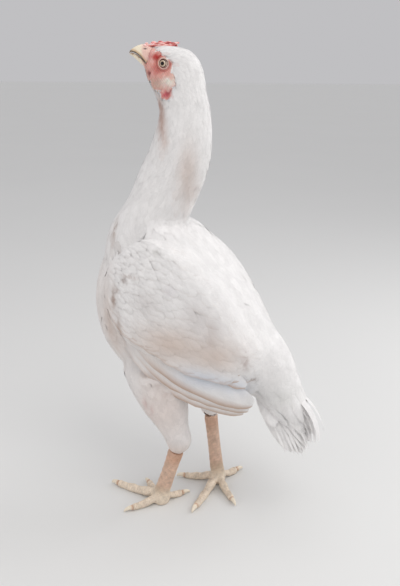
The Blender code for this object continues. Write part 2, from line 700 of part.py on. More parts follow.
def make_leg(side, thigh_stations, ankle, toes, front, trunk):
    """One leg, whole, then parted at the hock and above the foot."""
    thigh = make_thigh(f"thigh_{side}", thigh_stations)
    hock = Vector(thigh_stations[-2][:3])
    shank = make_shank(hock, ankle + SHANK_INTO_FOOT, front)
    leg = fuse(thigh, [shank, make_pad(ankle)] + [make_toe(ankle, toe) for toe in toes])
    cut(leg, grown(trunk))
    keep_largest(leg)
    down = (ankle - hock).normalized()
    names = ("lower_leg", f"thigh_{side}")
    lower, thigh = part_by_slab(leg, hock + down * THIGH_CUT_BELOW_HOCK, -down, LEG_CUT_SIZE, names)
    names = (f"foot_{side}", f"shank_{side}")
    foot, shank = part_by_slab(lower, ankle + FOOT_CUT_ABOVE_ANKLE, -down, LEG_CUT_SIZE, names)
    claws = [make_claw(f"claw_{side}_{toe[0]}", ankle, toe) for toe in toes]
    return thigh, shank, foot, claws


def mantle_frame(forward, angle, lift, side):
    """A point over the mantle on the left (1) or right (-1), with the way out of the surface."""
    angle = math.radians(angle)
    step = 1e-3
    here = section_point(MANTLE, MANTLE_FULLNESS, forward, angle)
    along = section_point(MANTLE, MANTLE_FULLNESS, forward - step, angle) - here
    around = section_point(MANTLE, MANTLE_FULLNESS, forward, angle + step) - here
    out = along.cross(around).normalized()
    point = here + out * lift
    if side < 0:
        point.x, out.x = -point.x, -out.x
    return point, out


def make_vane(points, outs, half_width, tilt):
    """A thin tapered vane along a path, with a raised shaft, widest past its middle."""
    vane = bmesh.new()
    last = len(points) - 1
    bmesh.ops.create_grid(vane, x_segments=2, y_segments=last, size=1)
    for vertex in vane.verts:
        across, share = vertex.co.x, (vertex.co.y + 1) / 2
        i = round(share * last)
        run = (points[min(i + 1, last)] - points[max(i - 1, 0)]).normalized()
        aside = outs[i].cross(run).normalized()
        reach = across * half_width * float(np.interp(share, VANE_STATIONS, VANE_WIDTHS))
        rise = math.tan(tilt) * reach + VANE_SHAFT_RISE * (1 - abs(across))
        vertex.co = points[i] + aside * reach + outs[i] * rise
    bmesh.ops.triangulate(vane, faces=vane.faces)
    bmesh.ops.recalc_face_normals(vane, faces=vane.faces)
    bmesh.ops.solidify(vane, geom=vane.faces, thickness=VANE_THICKNESS)
    return object_from("vane", vane)


def make_wing(name, side, neighbours):
    """A folded wing: a plate wrapped over the mantle, with tiers of vanes laid along it."""
    plate = bmesh.new()
    bmesh.ops.create_uvsphere(plate, u_segments=WING_PLATE_SIDES, v_segments=WING_PLATE_RINGS, radius=1)
    for vertex in plate.verts:
        x, y, z = vertex.co
        towards_shoulder = min(1, max(0, x - WING_PLATE_SHOULDER_START))
        height = WING_PLATE_REAR_HEIGHT + WING_PLATE_SHOULDER_HEIGHT * towards_shoulder
        lift = WING_PLATE_DEPTH * z if z < 0 else WING_PLATE_EDGE + height * z
        forward = WING_PLATE_MIDDLE + WING_PLATE_SPAN * x
        sweep = WING_PLATE_SWEEP * (1 + WING_PLATE_END_SPREAD * x * x)
        angle = WING_PLATE_ANGLE + WING_PLATE_SKEW * x + sweep * y
        vertex.co = mantle_frame(forward, angle, lift, side)[0]
    wing = object_from(name, plate)
    vanes = []
    for count, half_width, roots, root_angles, tips, tip_angles, bows, lifts in WING_TIERS:
        for share in np.linspace(0, 1, count):
            points, outs = [], []
            for t in np.linspace(0, 1, VANE_RINGS):
                forward = mix(mix(*roots, share), mix(*tips, share), t)
                angle = mix(mix(*root_angles, share), mix(*tip_angles, share), t)
                angle += mix(*bows, share) * math.sin(math.pi * t)
                point, out = mantle_frame(forward, angle, mix(*lifts, math.sin(math.pi / 2 * t)), side)
                points.append(point)
                outs.append(out)
            vanes.append(make_vane(points, outs, half_width, -side * VANE_TILT))
    fuse(wing, vanes)
    for neighbour in neighbours:
        cut(wing, grown(neighbour), "MANIFOLD")
    return keep_largest(wing)


def make_tail(trunk):
    """The tail: a feathered core that leaves the trunk, with pairs of vanes in a hanging tent."""
    rings = []
    for y, z, half_height, half_width in rows_along(TAIL_CORE, TAIL_CORE_RINGS):
        ring = []
        for angle in np.linspace(0, 2 * math.pi, TAIL_CORE_SIDES, endpoint=False):
            across, up = half_width * math.cos(angle), half_height * math.sin(angle)
            back, rise = -up * math.sin(TAIL_CORE_TILT), up * math.cos(TAIL_CORE_TILT)
            ring.append(Vector((across, y + back, z + rise)))
        rings.append(ring)
    tail = loft("tail", rings)
    vanes = []
    for side in (1, -1):
        for share in np.linspace(0, 1, TAIL_RECTRICES):
            root, tip = mix(*RECTRIX_ROOTS, share), mix(*RECTRIX_TIPS, share)
            # The tips lie on a bow, so that the tail ends broad and not as a point
            tip += TAIL_TIP_BOW * math.sin(math.pi * share)
            vanes.append(tail_vane(side, share, root, root.lerp(tip, 0.5), tip, RECTRIX_HALF_WIDTH, 0))
        for share in np.linspace(0, 1, TAIL_COVERTS):
            root, tip = mix(*COVERT_ROOTS, share), mix(*COVERT_TIPS, share)
            middle = root.lerp(tip, 0.5)
            vanes.append(tail_vane(side, share, root, middle, tip, COVERT_HALF_WIDTH, TAIL_COVERT_LIFT))
        vanes.append(tail_vane(side, 0, SICKLE_ROOT, SICKLE_MIDDLE, SICKLE_TIP, SICKLE_HALF_WIDTH, 0))
    fuse(tail, vanes)
    cut(tail, grown(trunk), "MANIFOLD")
    return keep_largest(tail)


def tail_vane(side, share, root, middle, tip, half_width, lift):
    """One vane of the tail's tent, bent towards the middle point; share 0 is on top and 1 is the lowest."""
    points, outs = [], []
    for t in np.linspace(0, 1, TAIL_VANE_RINGS):
        point = root * (1 - t) ** 2 + middle * 2 * t * (1 - t) + tip * t * t
        run = (middle - root) * (1 - t) + (tip - middle) * t
        out = TAIL_OUT_ON_TOP.lerp(TAIL_OUT_LOWEST, share)
        out = (out - run * out.dot(run) / run.length_squared).normalized()
        point += out * lift * min(1, 2 * t)
        points.append(Vector((side * point.x, point.y, point.z)))
        outs.append(Vector((side * out.x, out.y, out.z)))
    return make_vane(points, outs, half_width, -side * TAIL_VANE_TILT)


def make_beak_halves(beak):
    """Opens the nostrils and parts the beak along the mouth line."""
    for side in (1, -1):
        place = (NOSTRIL_AT[0], NOSTRIL_AT[1], side * NOSTRIL_AT[2])
        cut(beak, bulb("nostril", place, NOSTRIL_SIZE, NOSTRIL_SIDES))
    cut(beak, mouth_cutter())
    return two_halves(beak, Vector((0, 0, 1)), ("beak_lower", "beak_upper"))


def make_body():
    """The trunk, neck and head as one form, parted below the neck and below the head."""
    body = make_trunk()
    fuse(body, [make_column()], "EXACT")
    up_neck = Vector((0, -math.sin(NECK_CUT_TILT), math.cos(NECK_CUT_TILT)))
    torso, upper = part_by_slab(body, NECK_CUT, up_neck, NECK_CUT_SIZE, ("torso", "upper"))
    up_head = Vector((0, -math.sin(HEAD_CUT_TILT), math.cos(HEAD_CUT_TILT)))
    neck, head = part_by_slab(upper, HEAD_CUT, up_head, HEAD_CUT_SIZE, ("neck", "head"))
    return torso, neck, head


def build_bird():
    plumage = finish_material("white_plumage", (0.86, 0.85, 0.83), 0.75)
    flight = finish_material("flight_feathers", (0.88, 0.87, 0.85), 0.6)
    face = finish_material("bare_face", (0.62, 0.20, 0.17), 0.5)
    horn = finish_material("horn", (0.78, 0.68, 0.50), 0.4)
    scales = finish_material("leg_scales", (0.66, 0.50, 0.32), 0.5)
    iris = finish_material("iris", (0.62, 0.48, 0.26), 0.1)

    torso, neck, head = make_body()
    beak = make_beak()
    comb = make_comb(head, beak)
    make_head(head)
    cut(head, grown(beak))
    keep_largest(head)
    lower, upper = make_beak_halves(beak)
    eyes = [eyeball("eye_left", 1, EYE_RADIUS, EYE_SIDES), eyeball("eye_right", -1, EYE_RADIUS, EYE_SIDES)]

    left = make_leg("left", LEFT_THIGH, LEFT_ANKLE, LEFT_TOES, LEFT_FRONT, torso)
    right = make_leg("right", RIGHT_THIGH, RIGHT_ANKLE, RIGHT_TOES, RIGHT_FRONT, torso)
    wings = [
        make_wing("wing_left", 1, (torso, neck, left[0])),
        make_wing("wing_right", -1, (torso, neck, right[0])),
    ]
    tail = make_tail(torso)

    for things, finish in (
        ([torso, neck, left[0], right[0]], plumage),
        ([*wings, tail], flight),
        ([head, comb], face),
        ([lower, upper, *left[3], *right[3]], horn),
        ([left[1], left[2], right[1], right[2]], scales),
        (eyes, iris),
    ):
        for thing in things:
            thing.data.transform(Matrix.Translation(-CENTRE))
            thing.data.materials.clear()
            thing.data.materials.append(finish)
            thing.data.shade_smooth()
            thing.data.set_sharp_from_angle(angle=SHARP_ANGLE)


clear_scene()
BIRD = collection("aseel_fowl")
build_bird()
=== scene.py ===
import json
import math

import bpy
import numpy as np
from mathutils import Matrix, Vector
from mathutils.bvhtree import BVHTree

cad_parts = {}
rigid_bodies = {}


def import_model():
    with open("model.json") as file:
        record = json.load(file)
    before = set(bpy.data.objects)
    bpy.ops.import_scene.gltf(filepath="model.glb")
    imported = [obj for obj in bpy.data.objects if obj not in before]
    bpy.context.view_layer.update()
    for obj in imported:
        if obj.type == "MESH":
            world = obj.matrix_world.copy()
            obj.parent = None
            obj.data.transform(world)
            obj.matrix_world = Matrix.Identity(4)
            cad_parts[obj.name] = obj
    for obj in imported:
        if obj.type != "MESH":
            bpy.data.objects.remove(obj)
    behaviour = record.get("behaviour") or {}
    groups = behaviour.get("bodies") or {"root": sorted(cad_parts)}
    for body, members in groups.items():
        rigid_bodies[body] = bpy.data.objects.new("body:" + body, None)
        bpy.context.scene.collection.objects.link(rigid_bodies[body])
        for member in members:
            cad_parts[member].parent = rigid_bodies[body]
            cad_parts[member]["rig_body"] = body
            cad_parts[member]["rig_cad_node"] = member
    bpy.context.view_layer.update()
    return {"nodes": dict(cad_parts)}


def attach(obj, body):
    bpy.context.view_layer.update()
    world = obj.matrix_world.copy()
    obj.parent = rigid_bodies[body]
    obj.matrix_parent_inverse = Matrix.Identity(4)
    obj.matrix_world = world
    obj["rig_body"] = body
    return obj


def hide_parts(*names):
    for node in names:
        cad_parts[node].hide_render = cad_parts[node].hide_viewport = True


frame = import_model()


# Camera, floor and studio light. The floor is one large pale sheet under the toes, lit by a broad
# soft lamp above and behind the tail, a weak one before the breast, one behind the far side, and
# an even pale sky.
CAMERA_AT = (0.7273, 0.2824, 0.570)
CAMERA_TURN = (71.1, 0.0, 112.0)
CAMERA_LENS = 39.93
FLOOR_SIDE, FLOOR_ROUGHNESS = 60.0, 0.9
FLOOR_COLOUR = (0.72, 0.72, 0.71)
FLOOR_CLOUD_TONE, FLOOR_CLOUD_SCALE = 1.03, 1.5
SKY_COLOUR, SKY_STRENGTH = (0.91, 0.905, 0.93), 0.58
OVERHEAD_STRENGTH, OVERHEAD_ANGLE = 0.50, 60
LAMPS_AIM = (0, 0, 0.3)
# Each lamp: name, place, size, power and colour
LAMPS = (
    ("key", (0.55, 0.95, 1.75), 1.1, 10.0, (1.0, 0.985, 0.96)),
    ("fill", (1.25, -0.75, 0.85), 1.3, 3.8, (1.0, 0.97, 0.94)),
    ("rim", (-0.75, 1.05, 0.95), 0.8, 6.0, (1.0, 1.0, 1.0)),
)


def put(tree, kind, feeds=(), **settings):
    """Adds a node, sets its properties or inputs by name, and feeds inputs from sockets or values."""
    node = tree.nodes.new(kind if kind.startswith("Node") else "ShaderNode" + kind)
    for name, value in settings.items():
        title = name.replace("_", " ")
        if hasattr(node, name):
            setattr(node, name, value)
        elif title.title() in node.inputs:
            node.inputs[title.title()].default_value = value
        else:
            node.inputs[title].default_value = value
    for name, source in dict(feeds).items():
        if isinstance(source, bpy.types.NodeSocket):
            tree.links.new(source, node.inputs[name])
        else:
            node.inputs[name].default_value = source
    return node


def soft_noise(tree, scale, detail):
    """Even noise from the place on the object, as a value."""
    place = put(tree, "TexCoord").outputs["Object"]
    return put(tree, "TexNoise", {"Vector": place, "Scale": scale}, Detail=detail).outputs["Fac"]


def finish_of(title):
    """A new material with its node tree cleared down to the output."""
    finish = bpy.data.materials.new(title)
    finish.use_nodes = True
    finish.node_tree.nodes.clear()
    finish.node_tree.nodes.new("ShaderNodeOutputMaterial")
    return finish, finish.node_tree


def surface(tree, colour, relief=(), **settings):
    """A material's Principled shader, wired to its output. relief is a height, strength and depth."""
    shader = put(tree, "BsdfPrincipled", {"Base Color": colour}, **settings)
    if relief:
        height, strength, depth = relief
        bump = put(tree, "Bump", {"Height": height}, Strength=strength, Distance=depth)
        tree.links.new(bump.outputs["Normal"], shader.inputs["Normal"])
    output = next(node for node in tree.nodes if node.type == "OUTPUT_MATERIAL")
    tree.links.new(shader.outputs[0], output.inputs["Surface"])


def show(title, data):
    """A new object in the scene that holds this data."""
    thing = bpy.data.objects.new(title, data)
    bpy.context.scene.collection.objects.link(thing)
    return thing


camera_data = bpy.data.cameras.new("camera")
camera_data.lens = CAMERA_LENS
camera_data.clip_start = 0.01
camera = show("camera", camera_data)
camera.location = CAMERA_AT
camera.rotation_euler = [math.radians(turn) for turn in CAMERA_TURN]
bpy.context.scene.camera = camera

bpy.ops.object.select_all(action="DESELECT")
bpy.ops.mesh.primitive_plane_add(size=FLOOR_SIDE)
floor = bpy.context.object
floor.name = "floor"
floor_finish, tree = finish_of("pale_floor")
shade = put(tree, "Mix", {
    "Factor": soft_noise(tree, FLOOR_CLOUD_SCALE, 3.0),
    6: (*FLOOR_COLOUR, 1),
    7: (*[part * FLOOR_CLOUD_TONE for part in FLOOR_COLOUR], 1),
}, data_type="RGBA")
surface(tree, shade.outputs[2], Roughness=FLOOR_ROUGHNESS)
floor.data.materials.append(floor_finish)

# A wide overhead light keeps the far floor as pale as the near one
overhead_data = bpy.data.lights.new("overhead", "SUN")
overhead_data.energy = OVERHEAD_STRENGTH
overhead_data.angle = math.radians(OVERHEAD_ANGLE)
show("overhead", overhead_data)
for title, place, size, power, colour in LAMPS:
    lamp_data = bpy.data.lights.new(title, "AREA")
    lamp_data.size = size
    lamp_data.energy = power
    lamp_data.color = colour
    lamp = show(title, lamp_data)
    lamp.location = place
    lamp.rotation_euler = (Vector(LAMPS_AIM) - Vector(place)).to_track_quat("-Z", "Y").to_euler()

sky = bpy.data.worlds.new("sky")
bpy.context.scene.world = sky
sky.use_nodes = True
backdrop = sky.node_tree.nodes["Background"].inputs
backdrop["Color"].default_value = (*SKY_COLOUR, 1)
backdrop["Strength"].default_value = SKY_STRENGTH
bpy.context.scene.view_settings.view_transform = "Standard"


# The skin: one continuous hide over trunk, folded wings' muscle, rump, neck, head and thighs. It
# lies inside the solids by the feathers' depth, except on the bare face, whose folds, lids, ear
# lobes and dewlap it carries itself. The face is red, and the rest is as white as its feathers.
BASE = Vector((0.0003, -0.0276, 0.0))
TRUNK_CENTRE = BASE + Vector((0, 0, 0.265))
TRUNK_PITCH = math.radians(30)
TRUNK_AHEAD = Vector((0, -math.cos(TRUNK_PITCH), math.sin(TRUNK_PITCH)))
TRUNK_UP = Vector((0, math.sin(TRUNK_PITCH), math.cos(TRUNK_PITCH)))
MANTLE_FULLNESS = 3.4
MANTLE = (
    (-0.170, 0.028, -0.048, 0.038), (-0.130, 0.040, -0.062, 0.048), (-0.090, 0.052, -0.076, 0.057),
    (-0.050, 0.070, -0.089, 0.064), (-0.010, 0.085, -0.098, 0.068), (0.030, 0.096, -0.103, 0.070),
    (0.070, 0.105, -0.092, 0.067), (0.105, 0.092, -0.066, 0.057), (0.135, 0.060, -0.032, 0.038),
)
CREST_HEIGHT, CREST_ANGLE, CREST_SWEEP = 0.0075, 56, 17
CREST_MIDDLE, CREST_REACH = 0.012, 0.070
WING_BED_MIDDLE, WING_BED_SPAN = 0.007, 0.105
WING_BED_ANGLE, WING_BED_SWEEP, WING_BED_SKEW = 19, 38, -12
WING_BED_END_SPREAD = 0.3
WING_BED_EDGE, WING_BED_REAR, WING_BED_SHOULDER = 0.0008, 0.0028, 0.0066
WING_BED_FOOT, WING_BED_RINGS, WING_BED_SECTORS, WING_BED_RIM = -0.012, 14, 44, 0.999
SADDLE_DEPTH, SADDLE_REACH, SADDLE_ANGLES = 0.0010, (-0.128, 0.092), (-8, 188)
SADDLE_RINGS, SADDLE_SIDES = 40, 48
SADDLE_REAR_END, SADDLE_REAR_DEPTH = -0.100, 0.012
RUMP_AT, RUMP_SIZE, RUMP_LEAN = BASE + Vector((0, 0.120, 0.193)), (0.031, 0.031, 0.043), 34
HEAD_FOOT = BASE + Vector((0, -0.003, 0.545))
HEAD_TURN = math.radians(22)
HEAD_AHEAD = Vector((math.sin(HEAD_TURN), -math.cos(HEAD_TURN), 0))
HEAD_LEFT = Vector((math.cos(HEAD_TURN), math.sin(HEAD_TURN), 0))
THIGHS = (
    (BASE + Vector((0.0400, -0.031, 0.205)), BASE + Vector((0.0415, 0.0000, 0.094))),
    (BASE + Vector((-0.0400, -0.021, 0.205)), BASE + Vector((-0.0465, 0.0135, 0.098))),
)
BODY_VOXEL, HEAD_VOXEL, MERGE_WITHIN = 0.0026, 0.0008, 0.00002
HEAD_CUT = 0.512
EYE_AT = (23.0, 32.5, 14.2)
EYE_RADIUS = 6.3
THROAT_TOP, THROAT_EDGE, BARE_RIM, FAR_OUTSIDE = 26, (3.0, 5.5), (0.92, 1.05), 9.0
# Ellipses of bare skin on each side of the head: middle and half size, ahead and up, in millimetres
BARE_PATCHES = (
    (27, 29, 14.0, 12.0), (42, 40, 11, 14), (38, 22, 7.5, 9), (17.5, 12, 8.5, 6.5),
    (31, 11, 8, 8), (21.5, -1, 7, 6), (31.5, 40.5, 6.0, 5.4),
    (20, 18, 9, 5), (20, 5.5, 6.5, 4.5),
)
FEATHER_DEPTH, HEAD_FEATHER_DEPTH = 0.0019, 0.0010


def fade(value, start, end):
    """0 at start and 1 at end, with soft ends."""
    share = np.clip((value - start) / (end - start), 0, 1)
    return share * share * (3 - 2 * share)


def from_srgb(*colour):
    """A colour as it is picked off a screen, 0 to 255, made linear for the shaders."""
    parts = np.array(colour, float) / 255
    return np.where(parts <= 0.04045, parts / 12.92, ((parts + 0.055) / 1.055) ** 2.4)


def pick(*things):
    bpy.ops.object.select_all(action="DESELECT")
    for thing in things:
        thing.select_set(True)
    bpy.context.view_layer.objects.active = things[0]


def work(thing, kind, **settings):
    """Adds a modifier with these settings and applies it."""
    modifier = thing.modifiers.new(kind.title(), kind)
    for name, value in settings.items():
        setattr(modifier, name, value)
    pick(thing)
    bpy.ops.object.modifier_apply(modifier=modifier.name)


def knead(thing, voxel, factor, rounds):
    """Makes one even closed mesh of a piece's parts, and smooths it."""
    work(thing, "REMESH", mode="VOXEL", voxel_size=voxel)
    work(thing, "SMOOTH", factor=factor, iterations=rounds)


def edit(thing, operator, **settings):
    """Runs an operator of edit mode on a whole piece."""
    pick(thing)
    bpy.ops.object.mode_set(mode="EDIT")
    bpy.ops.mesh.select_all(action="SELECT")
    operator(**settings)
    bpy.ops.object.mode_set(mode="OBJECT")


def new_ball(radius, segments=32, rings=20):
    bpy.ops.object.select_all(action="DESELECT")
    bpy.ops.mesh.primitive_uv_sphere_add(segments=segments, ring_count=rings, radius=radius)
    return bpy.context.object


def twin(title, *names):
    """A merged copy of some of the solids, as one closed mesh to be worked on."""
    copies = []
    for name in names:
        copy = frame["nodes"][name].copy()
        copy.data = copy.data.copy()
        del copy["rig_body"], copy["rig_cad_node"]
        copy.parent = None
        bpy.context.scene.collection.objects.link(copy)
        copies.append(copy)
    pick(*copies)
    if len(copies) > 1:
        bpy.ops.object.join()
    thing = bpy.context.object
    thing.name = title
    thing.data.materials.clear()
    edit(thing, bpy.ops.mesh.remove_doubles, threshold=MERGE_WITHIN)
    return thing


def rows_of(items, name):
    flat = np.zeros(len(items) * 3)
    items.foreach_get(name, flat)
    return flat.reshape(-1, 3)


def points_of(thing):
    return rows_of(thing.data.vertices, "co")


def outs_of(thing):
    return rows_of(thing.data.vertex_normals, "vector")


def move_points(thing, points):
    thing.data.vertices.foreach_set("co", points.ravel())
    thing.data.update()


def mesh_from(title, points, faces):
    mesh = bpy.data.meshes.new(title)
    mesh.from_pydata(points, [], faces)
    mesh.validate()
    return show(title, mesh)


def trunk_place(ahead, up, left):
    """Points by their distances along the trunk's axis, above it and to the bird's left."""
    return (np.array(TRUNK_CENTRE) + ahead[..., None] * np.array(TRUNK_AHEAD)
            + up[..., None] * np.array(TRUNK_UP) + left[..., None] * np.array((1.0, 0, 0)))


def station(rows, where):
    """The other columns of a table at these values of its first, on a smooth curve."""
    rows = np.array(rows, float)
    keys = rows[:, 0]
    slopes = np.gradient(rows, keys, axis=0)
    i = np.clip(np.searchsorted(keys, where) - 1, 0, len(keys) - 2)
    span = (keys[i + 1] - keys[i])[..., None]
    t = (where[..., None] - keys[i][..., None]) / span
    near, far = (1 + 2 * t) * (1 - t) ** 2, t * t * (3 - 2 * t)
    leave, arrive = t * (1 - t) ** 2 * span, t * t * (t - 1) * span
    return (near * rows[i] + far * rows[i + 1] + leave * slopes[i] + arrive * slopes[i + 1])[..., 1:]


def mantle(ahead, angle, side):
    """Points on the surface that the folded wings lie on; angle 0 is level and 90 is the back."""
    back, belly, half_width = np.moveaxis(station(MANTLE, ahead), -1, 0)
    turn = np.radians(angle)
    across, up = np.cos(turn), np.sin(turn)
    fullness = np.abs(across) ** MANTLE_FULLNESS + np.abs(up) ** MANTLE_FULLNESS
    reach = fullness ** (-1 / MANTLE_FULLNESS)
    away = ((angle - CREST_ANGLE) / CREST_SWEEP) ** 2 + ((ahead - CREST_MIDDLE) / CREST_REACH) ** 2
    crest = CREST_HEIGHT * np.exp(-away)
    height = (back + belly) / 2 + (back - belly) / 2 * reach * up + crest * up
    return trunk_place(ahead, height, side * (half_width * reach + crest) * across)


def mantle_out(ahead, angle, side):
    """The way out of that surface."""
    along = mantle(ahead - 0.001, angle, side) - mantle(ahead + 0.001, angle, side)
    around = mantle(ahead, angle + 0.1, side) - mantle(ahead, angle - 0.1, side)
    out = np.cross(along, around) * side
    return out / np.linalg.norm(out, axis=-1, keepdims=True)


def bed_lift(x, y):
    """How far the wing's muscle stands over the mantle at a place on its unit disc."""
    dome = np.sqrt(np.clip(1 - x * x - y * y, 0, 1))
    return WING_BED_EDGE + (WING_BED_REAR + WING_BED_SHOULDER * np.clip(x + 0.5, 0, 1)) * dome


def bed_place(x, y):
    """Distance ahead and angle on the mantle of a place on the wing's unit disc."""
    sweep = WING_BED_SWEEP * (1 + WING_BED_END_SPREAD * x * x)
    return WING_BED_MIDDLE + WING_BED_SPAN * x, WING_BED_ANGLE + WING_BED_SKEW * x + sweep * y


def bed_disc(ahead, angle):
    """The way back: the place on the unit disc of a place on the mantle."""
    x = (ahead - WING_BED_MIDDLE) / WING_BED_SPAN
    sweep = WING_BED_SWEEP * (1 + WING_BED_END_SPREAD * x * x)
    return x, (angle - WING_BED_ANGLE - WING_BED_SKEW * x) / sweep


def wing_bed(side):
    """A closed lens over the mantle, thick enough to root in the trunk."""
    rings, sectors = WING_BED_RINGS, WING_BED_SECTORS
    turns = np.linspace(0, 2 * math.pi, sectors, endpoint=False)
    points = []
    for depth in (None, WING_BED_FOOT):
        for ring in range(rings + 1):
            reach = ring / rings * WING_BED_RIM
            x, y = reach * np.cos(turns), reach * np.sin(turns)
            ahead, angle = bed_place(x, y)
            lift = bed_lift(x, y) if depth is None else np.full(sectors, depth)
            points.append(mantle(ahead, angle, side) + mantle_out(ahead, angle, side) * lift[:, None])
    # The rings of the top, those of the foot, and the rim that joins them
    bands = [(ring, ring + 1, side) for ring in range(rings)]
    bands += [(ring, ring + 1, -side) for ring in range(rings + 1, 2 * rings + 1)]
    bands.append((rings, 2 * rings + 1, side))
    faces = []
    for near, far, turn in bands:
        for i in range(sectors):
            j = (i + 1) % sectors
            here, there = near * sectors, far * sectors
            faces.append((here + i, there + i, there + j, here + j)[::turn])
    bed = mesh_from("wing_bed", np.concatenate(points), faces)
    edit(bed, bpy.ops.mesh.remove_doubles, threshold=MERGE_WITHIN)
    edit(bed, bpy.ops.mesh.normals_make_consistent, inside=False)
    return bed


def saddle():
    """The filled back under and between the folded wings, whose foot lies inside the trunk."""
    rings, sides = SADDLE_RINGS, SADDLE_SIDES
    angles = np.linspace(*SADDLE_ANGLES, sides)
    over = angles <= 90
    angles, side = np.where(over, angles, 180 - angles), np.where(over, 1.0, -1.0)
    points = []
    for ahead in np.linspace(*SADDLE_REACH, rings):
        depth = SADDLE_DEPTH + SADDLE_REAR_DEPTH * (1 - fade(ahead, SADDLE_REACH[0], SADDLE_REAR_END))
        aheads = np.full(sides, ahead)
        outs = np.where(over[:, None], mantle_out(aheads, angles, 1), mantle_out(aheads, angles, -1))
        points.append(mantle(aheads, angles, side) - outs * depth)
    faces = []
    for r in range(rings - 1):
        for i in range(sides):
            j = (i + 1) % sides
            faces.append((r * sides + i, r * sides + j, (r + 1) * sides + j, (r + 1) * sides + i))
    faces.append(tuple(range(sides))[::-1])
    faces.append(tuple((rings - 1) * sides + i for i in range(sides)))
    form = mesh_from("saddle", np.concatenate(points), faces)
    edit(form, bpy.ops.mesh.normals_make_consistent, inside=False)
    return form


def head_place(points):
    """Millimetres ahead, up and to the left of the head's own foot."""
    gap = (np.asarray(points) - np.array(HEAD_FOOT)) * 1000
    return gap @ np.array(HEAD_AHEAD), gap[..., 2], gap @ np.array(HEAD_LEFT)


def oval(ahead, up, middle, height, half_length, half_height):
    """Distance from the middle of an oval on the side of the head, 1 on its rim."""
    return np.hypot((ahead - middle) / half_length, (up - height) / half_height)


def bareness(points):
    """1 on the bare skin of the face, ear lobes and dewlap, 0 under feathers, with a soft edge."""
    ahead, up, left = head_place(points)
    depth = np.full(ahead.shape, FAR_OUTSIDE)
    for patch in BARE_PATCHES:
        depth = np.minimum(depth, oval(ahead, up, *patch))
    bare = 1 - fade(depth, *BARE_RIM)
    # Small feathers run down the middle of the throat
    return bare * np.where(up < THROAT_TOP, fade(np.abs(left), *THROAT_EDGE), 1.0)


def axis_gap(points, start, end):
    """Distance of points from a leg's axis."""
    points, start, end = np.asarray(points), np.array(start), np.array(end)
    run = end - start
    share = np.clip(((points - start) @ run) / (run @ run), 0, 1)
    return np.linalg.norm(points - start - share[..., None] * run, axis=-1)


body = twin("skin", "torso", "neck", "head", "thigh_left", "thigh_right")
beds = [wing_bed(1), wing_bed(-1), saddle()]
rump = new_ball(1)
edit(rump, bpy.ops.transform.resize, value=RUMP_SIZE)
lean = math.radians(RUMP_LEAN)
places = points_of(rump)
turned = places.copy()
turned[:, 1] = places[:, 1] * math.cos(lean) - places[:, 2] * math.sin(lean)
turned[:, 2] = places[:, 1] * math.sin(lean) + places[:, 2] * math.cos(lean)
move_points(rump, turned + np.array(RUMP_AT))
pick(body, *beds, rump)
bpy.ops.object.join()
knead(body, BODY_VOXEL, factor=0.6, rounds=12)


def tree_of(*things):
    """The surfaces of some pieces together, for other things to be pressed on."""
    corners, faces = [], []
    for thing in things:
        before = len(corners)
        corners += [v.co.copy() for v in thing.data.vertices]
        faces += [tuple(before + i for i in p.vertices) for p in thing.data.polygons]
    return BVHTree.FromPolygons(corners, faces)


def form_of(thing):
    """The places and triangles of a piece as it is now."""
    thing.data.calc_loop_triangles()
    corners = np.zeros(len(thing.data.loop_triangles) * 3, int)
    thing.data.loop_triangles.foreach_get("vertices", corners)
    return points_of(thing), corners.reshape(-1, 3)


# Millimetres ahead and up of the head's foot, half sizes, colour and strength
FACE_TINTS_AND_SHADING = (
    (29, 27, 12, 11, (198, 98, 90), 0.85), (45, 45, 9, 8, (230, 182, 176), 0.85),
    (30.6, 39.0, 6.6, 4.0, (186, 22, 16), 1.0), (25.5, 39.8, 5.0, 1.8, (168, 44, 36), 0.9),
    # (42.5, 33.5): painted shadow in the gape fold behind the corner of the mouth
    (15.5, 32, 2.6, 4.0, (158, 72, 64), 0.7), (42.5, 33.5, 1.6, 3.0, (120, 44, 42), 0.85),
    (38.5, 40.5, 1.0, 3.4, (178, 84, 84), 0.6), (41.0, 43.4, 2.2, 0.9, (150, 66, 70), 0.7),
    (36.5, 34.5, 1.2, 3.6, (240, 190, 182), 0.6), (40.6, 27.0, 1.2, 4.2, (236, 178, 170), 0.6),
    # (36.4, 21): a painted highlight beside the dark spot at (39.9, 21.5)
    (39.9, 21.5, 2.2, 3.4, (118, 36, 42), 0.95), (36.4, 21, 1.5, 3.4, (236, 178, 174), 0.8),
    (31, 10, 8, 7, (198, 166, 152), 0.9),
    (24, 19.5, 7, 2.2, (222, 168, 156), 0.7), (17, 12, 8, 5.6, (226, 220, 210), 0.97),
    # (19, 14.5): a painted highlight on the ear lobe; (9.0, 12): painted shade behind the lobe
    (19, 14.5, 5, 2.0, (242, 238, 226), 0.6), (9.0, 12, 1.3, 4.6, (122, 92, 94), 0.75),
    (21, -1, 6.5, 5, (188, 78, 88), 0.95), (25, 2.6, 2.5, 1.5, (232, 182, 174), 0.7),
    (18, 1.0, 2.4, 2.0, (148, 46, 60), 0.6),
)
BARE_SKIN = (222, 176, 164)
# Rings of the lids, out from the eyeball: reach from the middle of the eye, width and colour
LID_RINGS = (
    (0.80, 0.08, (92, 52, 44)), (0.98, 0.09, (236, 214, 200)), (1.12, 0.05, (140, 74, 64)),
    (1.26, 0.08, (206, 128, 116)), (1.40, 0.06, (156, 64, 54)),
)
LID_OVAL, LID_STRENGTH = (*EYE_AT[:2], 5.6, 6.0), 0.85
PLUMAGE_PATTERNS = ((0.035, 0.012, 0.5), (0.03, 0.0034, 2.0))
SKIN_PATTERNS = ((0.10, 0.0012, 1.0), (0.06, 0.0005, 3.0))
WOBBLE, WOBBLE_SIZE, WOBBLE_TURNS = 0.0012, 0.004, (0.0, 1.3, 2.9)
PLUMAGE = (238, 236, 235)
